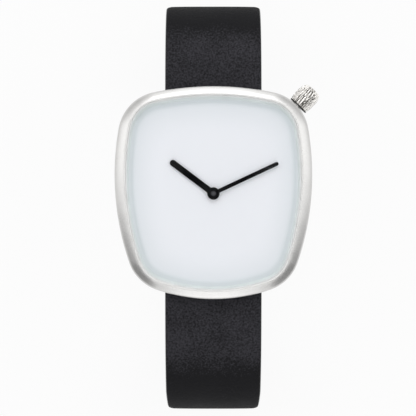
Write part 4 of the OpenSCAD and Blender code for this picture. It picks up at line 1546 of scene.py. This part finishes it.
@dataclass
class ShortHalf(StrapHalf):
    """The 12 o'clock half, which carries the buckle and the keepers.

    keeper_at is how far the fixed keeper lies from the buckle's bar, and keeper_space the gap to the free one.
    """

    keeper_bend_r: float = 13.4
    end_deg: float = 35.0
    keeper_run: float = 20.0
    buckle_fold_r: float = 1.35
    buckle_fold_run: float = 1.5
    tongue_slot_w: float = 2.3
    tongue_slot_half: float = 3.6
    keeper_len: float = 4.2
    keeper_t: float = 0.8
    keeper_at: float = 4.2
    keeper_space: float = 0.4

    def stretches(self, lead: float, bend: float) -> list[Flat]:
        """Stretches of the path, from the spring bar on.

        Args:
            lead: Length of the straight lead from the bar.
            bend: Length of the bend after it.

        Returns:
            The length of each stretch, and its bend in degrees.
        """
        keeper_bend = self.keeper_bend_r * math.radians(self.end_deg)
        down = self.length - lead - bend - keeper_bend - self.keeper_run
        return [(lead, 0.0), (bend, self.leave_deg - 90), (down, 0.0), (keeper_bend, -self.end_deg),
                (self.keeper_run, 0.0)]

    def half_thick(self, u: float) -> float:
        """Half the thickness, rounded over the buckle's bar at the end.

        Args:
            u: Length along the path.

        Returns:
            Half the thickness.
        """
        over, run = u - self.length, self.buckle_fold_run
        if over > -run:
            plain = eased(self.thin / 2, self.buckle_fold_r, min(1.0, (over + run) / run))
            return plain * math.sqrt(max(0.0, 1 - (max(over, 0.0) / self.buckle_fold_r) ** 2))
        return super().half_thick(u)

    def tongue_cutter(self) -> bpy.types.Object:
        """Solid that cuts the tongue's slot."""
        half = self.tongue_slot_w / 2
        return self.punch("tongue_cutter", rounded_box(half, self.tongue_slot_half, half - 0.05, 6), self.length)

    def build(self) -> None:
        """Builds the upper leather, the lining and both keepers."""
        ends = [self.length + self.buckle_fold_r * math.sin(math.pi / 2 * k / 7) * 0.999 for k in range(1, 8)]
        split, join = self.fold_r + 0.5, self.length - self.buckle_fold_r - 0.5
        stops = self.folded() + self.spaced(0, split - self.seam, self.fold_step)
        stops += self.spaced(split + self.seam, join - self.seam)
        stops += self.spaced(join + self.seam, self.length, self.fold_step) + ends

        def upper(u: float) -> tuple[list[Flat], list[int]]:
            """Section of the upper, full depth at both folds."""
            high = self.half_thick(u)
            return self.upper_section(self.half_width(u), self.lining - high if split < u < join else -high, high)

        made = self.skin("short_half_upper", [UPPER, EDGE_PAINT, LINING], stops, upper).finish_mesh()
        _, end_y, end_z = self.put(self.length, 0, 0)
        bars = [self.bar_cutter(self.bar.y, self.bar.z), self.bar_cutter(end_y, end_z)]
        settle(carve(made, *bars, self.tongue_cutter()), self.body, "strap_leather", "short_strap_leather")
        made = self.skin("short_half_lining", [LINING], self.spaced(split, join), self.lower).finish_mesh()
        settle(carve(made, self.tongue_cutter()), self.body, "strap_lining", "short_strap_lining")
        self.keeper("fixed_keeper_loop", self.keeper_at, self.body, "fixed_keeper")
        self.keeper("free_keeper_loop", self.keeper_at + self.keeper_len + self.keeper_space, "free_keeper",
                    "free_keeper")

    def keeper(self, name: str, start: float, body: str, node: str) -> None:
        """Builds one keeper loop round the strap.

        Args:
            name: The piece's name.
            start: Distance from the buckle's bar back to the loop.
            body: The body that it rides on.
            node: The node that it replaces.
        """
        t, half = self.keeper_t / 2, self.keeper_len / 2
        low, high = -self.thin / 2 - 0.08 - t, 1.5 * self.thin + 0.2 + t
        middle = (low + high) / 2
        loop = rounded_box(self.narrow / 2 + 0.08 + t, (high - low) / 2, 0.75, 10)
        section = [(half - 0.3, -t), (half - 0.08, -t + 0.1), (half, -t + 0.3), (half, t - 0.3), (half - 0.1, t - 0.12),
                   (half - 0.35, t - 0.02), (half - 0.9, t), (0.0, t)]
        section = section + [(-a, b) for a, b in reversed(section[:-1])]
        shades = [1] * 5 + [0] * 4 + [1] * 5 + [2]
        rings = []
        for k, (x, z) in enumerate(loop):
            ahead, behind = Vector(loop[(k + 1) % len(loop)]), Vector(loop[k - 1])
            run = (ahead - behind).normalized()
            out = Vector((run.y, -run.x))
            rings.append([self.put(self.length - start - half + a, x + out.x * b, middle + z + out.y * b)
                          for a, b in section])
        piece = Piece(name, [UPPER, EDGE_PAINT, LINING])
        piece.loft(rings, lambda i, j: shades[j % len(shades)], around=True)
        settle(piece.finish_mesh(), body, "strap_leather", node)


@dataclass
class LongHalf(StrapHalf):
    """The 6 o'clock half, which turns under the watch and carries the holes.

    tip is the length of its rounded tip, and tip_blunt the share of the width that the tip ends with.
    """

    length: float = 115.0
    tip: float = 9.0
    tip_blunt: float = 0.25
    tip_power: float = 2.4
    first_hole: float = 26.0
    hole_step: float = 6.5
    holes: int = 6
    hole_r: float = 0.95

    def stretches(self, lead: float, bend: float) -> list[Flat]:
        """Stretches of the path, from the spring bar on.

        Args:
            lead: Length of the straight lead from the bar.
            bend: Length of the bend after it.

        Returns:
            The length of each stretch, and its bend in degrees.
        """
        leave, r = math.radians(self.leave_deg), self.lead_bend_r
        down = self.bar.z - self.thin / 2 - lead * math.sin(leave) - r * (math.cos(leave) + 1)
        turn = r * math.pi / 2
        flat = self.length - lead - bend - down - turn
        return [(lead, 0.0), (bend, self.leave_deg - 90), (down, 0.0), (turn, -90.0), (flat, 0.0)]

    def half_width(self, u: float) -> float:
        """Half the width, drawn in to the rounded tip.

        Args:
            u: Length along the path.

        Returns:
            Half the width.
        """
        plain = super().half_width(u)
        d, blunt = (u - self.length + self.tip) / self.tip, self.tip_blunt
        if d <= 0:
            return plain
        return plain * (blunt + (1 - blunt) * math.sqrt(max(0.0, 1 - min(d, 1.0) ** self.tip_power)))

    def hole_cutters(self) -> list[bpy.types.Object]:
        """Solids that punch the holes."""
        return [self.punch("hole_cutter", circle(self.hole_r, 40), self.length - self.first_hole - k * self.hole_step)
                for k in range(self.holes)]

    def build(self) -> None:
        """Builds the upper leather and the lining."""
        split, tip_at = self.fold_r + 0.5, self.length - self.tip
        tips = [self.length - self.tip * math.cos(math.pi / 2 * k / 24) for k in range(1, 25)]
        stops = self.folded() + self.spaced(0, split - self.seam, self.fold_step)
        stops += self.spaced(split + self.seam, tip_at) + tips

        def upper(u: float) -> tuple[list[Flat], list[int]]:
            """Section of the upper, full depth at the fold."""
            high = self.half_thick(u)
            return self.upper_section(self.half_width(u), self.lining - high if u > split else -high, high)

        made = self.skin("long_half_upper", [UPPER, EDGE_PAINT, LINING], stops, upper).finish_mesh()
        made = carve(made, self.bar_cutter(self.bar.y, self.bar.z), *self.hole_cutters())
        settle(made, self.body, "strap_leather", "long_strap_leather")
        made = self.skin("long_half_lining", [LINING], self.spaced(split, tip_at) + tips, self.lower).finish_mesh()
        settle(carve(made, *self.hole_cutters()), self.body, "strap_lining", "long_strap_lining")


# Buckle


@dataclass
class Buckle:
    """Pin buckle: a rounded frame with ears for its bar, and a tongue.

    gap is half the frame's inner width, side the width of its sides, and far_bar that of its far bar. taper and blunt
    are the shares of its width that the tongue loses along its length and at its very tip.
    """

    gap: float = 8.25
    side: float = 1.8
    ear_r: float = 1.8
    ear_round: float = 0.45
    thick: float = 1.8
    edge: float = 0.5
    reach: float = 9.5
    far_bar: float = 2.4
    corner_out: float = 2.6
    corner_in: float = 1.1
    tongue_w: float = 1.7
    tongue_t: float = 0.85
    notch_gap: float = 0.1
    bore: float = 0.8
    loop_r: float = 1.25
    squareness: float = 0.7
    taper: float = 0.28
    blunt: float = 0.2

    def __post_init__(self) -> None:
        """Finds the buckle's bar in the frame."""
        low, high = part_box("buckle_bar")
        self.bar = (low + high) / 2 / MM

    def frame_piece(self) -> bpy.types.Object:
        """Frame with rounded stock, round ears and a notch for the tongue.

        Returns:
            The object.
        """

        def end(half: float, y: float, r: float) -> list[Flat]:
            """Far end of an outline with two round corners, from its right side to its left."""
            return arc(half - r, y + r, r, 0, -90, 10) + arc(r - half, y + r, r, -90, -90, 10)

        outer, inner, far = self.gap + self.side, self.gap, -self.reach
        loop = [(outer, 0.0), *end(outer, far, self.corner_out), (-outer, 0.0), (-inner, 0.0),
                *reversed(end(inner, far + self.far_bar, self.corner_in)), (inner, 0.0)]
        at = Matrix.Translation((self.bar.x, self.bar.y, self.bar.z - self.ear_r + self.thick / 2))
        made = plate("rounded_buckle_frame", [BUCKLE_STEEL], [loop], self.thick, self.edge, at)
        half, r, d, near = self.side / 2, self.ear_r, self.ear_round, 0.13
        profile = [(r - d, -half), (r - near, -half + near), (r, -half + d), (r, half - d), (r - near, half - near),
                   (r - d, half)]
        merge(made, *[turned("ear", BUCKLE_STEEL, profile, along_x(s * (self.gap + half), self.bar.y, self.bar.z), 56)
                      for s in (-1, 1)])
        half, top = self.tongue_w / 2 + self.notch_gap, self.bar.z - self.ear_r + self.tongue_t + 0.15
        section = [(-half, -1.0), (half, -1.0), (half, top - 0.2), (half - 0.2, top), (0.2 - half, top),
                   (-half, top - 0.2)]
        start = self.bar.y - self.reach
        rings = [[(x, y, z) for x, z in section] for y in (start - 1, start + self.far_bar + 1)]
        carve(made, Piece("notch_cutter", [BUCKLE_STEEL]).loft(rings).finish_mesh(False))
        return settle(made, "buckle", "buckle_steel", "buckle_frame")

    def tongue(self) -> bpy.types.Object:
        """Tongue: a tapering pin that grows out of a loop round the bar.

        Returns:
            The object.
        """

        def squared(value: float) -> float:
            """Sine or cosine that is drawn out towards a square."""
            return math.copysign(abs(value) ** self.squareness, value)

        low, far = self.notch_gap - self.ear_r, -self.reach - 0.2
        # Outward and upward distance from the bar, and half the thickness
        spine = [(0.0, -0.86, 0.42), (-0.5, -0.88, 0.42), (-1.0, -0.92, 0.4), (-1.7, -1.05, 0.4),
                 (-2.4, -1.2, 0.41), (-3.1, low + 0.42, 0.42), (-5.0, low + 0.42, 0.42), (-7.0, low + 0.42, 0.42),
                 (-8.6, low + 0.41, 0.41), (far, low + 0.4, 0.38), (far - 0.3, low + 0.36, 0.3),
                 (far - 0.46, low + 0.34, 0.16)]
        rings = []
        for k, (y, z, t) in enumerate(spine):
            share = 1.0 - self.taper * (y / far) - (self.blunt if k == len(spine) - 1 else 0.0)
            w = self.tongue_w / 2 * share
            rings.append([(w * squared(math.cos(a)), self.bar.y + y, self.bar.z + z + t * squared(math.sin(a)))
                          for a in [2 * math.pi * j / 28 for j in range(28)]])
        made = Piece("tapered_tongue", [BUCKLE_STEEL]).loft(rings).finish_mesh()
        half, bore, r, at = self.tongue_w / 2, self.bore, self.loop_r, along_x(0, self.bar.y, self.bar.z)
        profile = [(bore, -half), (r - 0.1, -half), (r, -half + 0.12), (r, half - 0.12), (r - 0.1, half), (bore, half)]
        merge(made, turned("loop", BUCKLE_STEEL, profile, at, 48, around=True))
        carve(made, turned("bore", BUCKLE_STEEL, [(bore, -half - 1), (bore, half + 1)], at, 48))
        return settle(made, "tongue", "buckle_steel", "buckle_tongue")


# Carried-over nodes


@dataclass
class Movement:
    """Finishes of the nodes that keep their own shape."""

    finishes: dict[str, Finish] = field(default_factory=lambda: {
        "movement_holder": HOLDER, "main_plate": BRASS, "cannon_pinion": DARK_STEEL, "hour_wheel": BRASS,
        "minute_wheel": BRASS, "setting_wheel": BRIGHT, "centre_wheel": CENTRE, "intermediate_wheel": BRASS,
        "rotor": MAGNET, "stator": SOFT_IRON, "coil_core": SOFT_IRON, "coil_winding": COPPER, "circuit_board": BOARD,
        "quartz_can": CAN, "clock_chip": CHIP, "battery": CAN, "battery_clamp": BRIGHT, "train_bridge": BRIGHT,
        "movement_screws": BRIGHT, "stem": BRIGHT, "clutch_wheel": BRIGHT, "setting_lever": BRIGHT, "yoke": BRIGHT,
        "crown_gasket": RUBBER, "crown_tube": BRIGHT, "back_gasket": RUBBER, "back_screws": BRIGHT,
        "spring_bar_12": BRIGHT, "spring_bar_6": BRIGHT, "buckle_bar": BRIGHT,
    })
    softened: tuple[str, ...] = ("back_screws", "buckle_bar", "spring_bar_12", "spring_bar_6")
    soft_mm: float = 0.05

    def dress(self) -> None:
        """Gives each node its finish, and softens the edges of those that show."""
        for name, finish in self.finishes.items():
            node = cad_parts[name]
            if not node.material_slots:
                node.data.materials.append(None)
            for place in node.material_slots:
                place.material = finish.material()
            if name in self.softened:
                step = node.modifiers.new("soft_edges", "BEVEL")
                step.width, step.segments, step.limit_method = self.soft_mm * MM, 2, "ANGLE"
            log.info("%s: finish %s", name, finish.name)


# Studio


@dataclass(frozen=True)
class Wedge:
    """Part of the surround about one way out from the watch, the same on its left and its right.

    way is the sideways and the ahead share of that way, and edge the slope and start of the wedge's share.
    """

    way: Flat
    edge: Flat


@dataclass
class Studio:
    """Floor, light and camera.

    Of the surround, horizon, overhead and strip are brightnesses: low down, above, and of the strip over 12 and 6
    o'clock. flank and the high ones are added to them, and the ones that end in dim are shares taken away. An edge is
    the slope and start of a share between 0 and 1: for the strip of the way ahead, for those with zenith in their
    name of the distance from the zenith, and for the others of the height.
    """

    floor_size: float = 8.0
    floor_colour: Point = (0.8, 0.8, 0.8)
    floor_white: float = 0.9
    lamp_size: Flat = (0.5, 0.9)
    lamp_at: Point = (0.0, 0.8, 1.25)
    lamp_radiance: float = 1.3
    horizon: float = 1.01
    overhead: float = 1.5
    strip: float = 1.56
    strip_edge: Flat = (12.0, -10.9)
    flank: float = 0.35
    flank_wedge: Wedge = Wedge((0.974, 0.225), (14.0, -13.0))
    flank_edge: Flat = (2.0, -0.3)
    high_front: float = 0.6
    high_flank: float = 0.3
    high_zenith_edge: Flat = (-3.0, 1.9)
    near_dim: float = 0.6
    near_wedge: Wedge = Wedge((0.766, -0.643), (8.3, -6.75))
    near_zenith_edge: Flat = (5.0, -0.25)
    mid_dim: float = 0.45
    mid_zenith_edges: tuple[Flat, Flat] = ((8.0, -0.9), (-3.0, 3.0))
    far_dim: float = 0.31
    far_wedge: Wedge = Wedge((0.643, 0.766), (8.0, -6.6))
    far_zenith_edge: Flat = (4.0, -0.2)
    cap_dim: float = 0.95
    cap_edge: Flat = (290.0, -287.9)
    camera_at: Flat = (-1.0, -2.69)
    camera_height: float = 450.0
    frame_width: float = 76.84
    rim_height: float = 65.6

    def floor(self) -> None:
        """Pale floor that keeps a faint shadow and is clear from below."""
        half = self.floor_size / 2
        mesh = bpy.data.meshes.new("floor")
        mesh.from_pydata([(-half, -half, 0), (half, -half, 0), (half, half, 0), (-half, half, 0)], [], [(0, 1, 2, 3)])
        made = bpy.data.objects.new("floor", mesh)
        bpy.context.scene.collection.objects.link(made)
        graph = Graph("pale_floor")
        graph.set(Base_Color=(*self.floor_colour, 1), Roughness=0.9, Specular_IOR_Level=0.1)
        path = graph.add("ShaderNodeLightPath").outputs
        seen = graph.maths("MAXIMUM", path["Is Camera Ray"], path["Is Glossy Ray"])
        seen = graph.maths("MAXIMUM", seen, path["Is Transmission Ray"])
        glow = graph.add("ShaderNodeEmission")
        glow.inputs["Color"].default_value = (1, 1, 1, 1)
        glow.inputs["Strength"].default_value = 1.0
        pale = graph.mix(graph.maths("MULTIPLY", seen, self.floor_white), graph.shader, glow)
        under = graph.add("ShaderNodeNewGeometry").outputs["Backfacing"]
        whole = graph.mix(under, pale, graph.add("ShaderNodeBsdfTransparent"))
        graph.link(whole.outputs[0], graph.output.inputs["Surface"])
        mesh.materials.append(graph.material)

    def lamp(self) -> None:
        """Softbox above the 12 o'clock side."""
        lamp = bpy.data.lights.new("softbox", "AREA")
        lamp.shape, lamp.size, lamp.size_y = "RECTANGLE", *self.lamp_size
        lamp.energy = self.lamp_radiance * math.pi * self.lamp_size[0] * self.lamp_size[1]
        made = bpy.data.objects.new("softbox", lamp)
        made.location = self.lamp_at
        made.rotation_euler = (-Vector(self.lamp_at)).to_track_quat("-Z", "Y").to_euler()
        made.visible_camera = False
        bpy.context.scene.collection.objects.link(made)

    def sky(self) -> None:
        """Soft surround: bright above, greyer at the sides, dim at the corners and right overhead."""
        world = bpy.data.worlds.new("studio")
        world.use_nodes = True
        bpy.context.scene.world = world
        tree = Tree(world.node_tree)
        maths, share = tree.maths, tree.share

        def dim(level: Socket, amount: float, *where: Socket) -> Socket:
            """Level lowered by an amount where one value, or the product of two, is 1."""
            place = maths("MULTIPLY", *where) if len(where) > 1 else where[0]
            return maths("MULTIPLY", level, maths("MULTIPLY_ADD", place, -amount, 1.0))

        def lift(level: Socket, amount: float, *where: Socket) -> Socket:
            """Level raised by an amount where the product of two values is 1."""
            return maths("MULTIPLY_ADD", maths("MULTIPLY", *where), amount, level)

        def within(wedge: Wedge) -> Socket:
            """Share of a wedge."""
            (beside, before), edge = wedge.way, wedge.edge
            return share(maths("MULTIPLY_ADD", side, beside, maths("MULTIPLY", ahead, before)), *edge)

        x, y, z = tree.axes(tree.add("ShaderNodeTexCoord").outputs["Generated"])
        # How far a way lies from the zenith: 0 there and 1 at the horizon
        off = maths("MAXIMUM", maths("SQRT", maths("SUBTRACT", 1.0, maths("POWER", z, 2.0))), 0.001)
        side, ahead = maths("DIVIDE", maths("ABSOLUTE", x), off), maths("DIVIDE", y, off)
        level = maths("MULTIPLY_ADD", maths("POWER", share(z, 1.0), 3.0), self.overhead - self.horizon, self.horizon)
        axis = share(maths("ABSOLUTE", ahead), *self.strip_edge)
        level = maths("ADD", level, maths("MULTIPLY", maths("SUBTRACT", self.strip, level), axis))
        flank, near, far = within(self.flank_wedge), within(self.near_wedge), within(self.far_wedge)
        level = lift(level, self.flank, flank, share(z, *self.flank_edge))
        level = dim(level, self.near_dim, near, share(off, *self.near_zenith_edge))
        level = dim(level, self.far_dim, far, share(off, *self.far_zenith_edge))
        band = maths("MULTIPLY", *[share(off, *edge) for edge in self.mid_zenith_edges])
        level = dim(level, self.mid_dim, near, band)
        slope, start = self.strip_edge
        front, high = share(ahead, -slope, start), share(off, *self.high_zenith_edge)
        level = lift(level, self.high_front, front, high)
        level = lift(level, self.high_flank, flank, high)
        level = dim(level, self.cap_dim, share(z, *self.cap_edge))
        # The camera sees plain white behind the floor's edge
        seen = tree.add("ShaderNodeLightPath").outputs["Is Camera Ray"]
        level = maths("ADD", level, maths("MULTIPLY", seen, maths("SUBTRACT", 1.0, level)))
        ground = tree.add("ShaderNodeBackground")
        ground.inputs["Color"].default_value = (1, 1, 1, 1)
        tree.link(level, ground.inputs["Strength"])
        tree.link(ground.outputs[0], tree.add("ShaderNodeOutputWorld").inputs["Surface"])

    def camera(self) -> None:
        """Camera that looks straight down."""
        made = bpy.data.cameras.new("camera")
        made.sensor_width = 36.0
        made.lens = made.sensor_width * self.camera_height / self.frame_width
        made.clip_start, made.clip_end = 0.01, 20.0
        seen = bpy.data.objects.new("camera", made)
        seen.location = [c * MM for c in (*self.camera_at, self.rim_height + self.camera_height)]
        bpy.context.scene.collection.objects.link(seen)
        bpy.context.scene.camera = seen
        bpy.context.scene.view_settings.view_transform = "Standard"


def main() -> None:
    """Builds the watch, its finishes and the studio."""
    logging.basicConfig(level=logging.INFO, format="%(name)s: %(message)s")
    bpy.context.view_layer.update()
    head = Head()
    for build in (head.case, head.crystal, head.crystal_gasket, head.dial, head.dial_ring, head.back):
        build()
    Hand("round_hour_hand", "hour_hand", "hour_hand", length=9.95, width=1.15, direction_deg=143.0, boss_r=1.15,
         bore=0.85).build()
    Hand("round_minute_hand", "minute_hand", "minute_hand", length=13.25, width=0.72, direction_deg=25.1, boss_r=1.15,
         bore=0.5, collar=(0.8, 0.16)).build()
    Crown(head).build()
    ShortHalf(Side.TWELVE, "short_strap", reach=36.1, lead_bend_r=15.0).build()
    LongHalf(Side.SIX, "long_strap", reach=41.8, lead_bend_r=20.0).build()
    buckle = Buckle()
    buckle.frame_piece()
    buckle.tongue()
    Movement().dress()
    studio = Studio()
    for build in (studio.floor, studio.lamp, studio.sky, studio.camera):
        build()


if __name__ == "__main__":
    main()
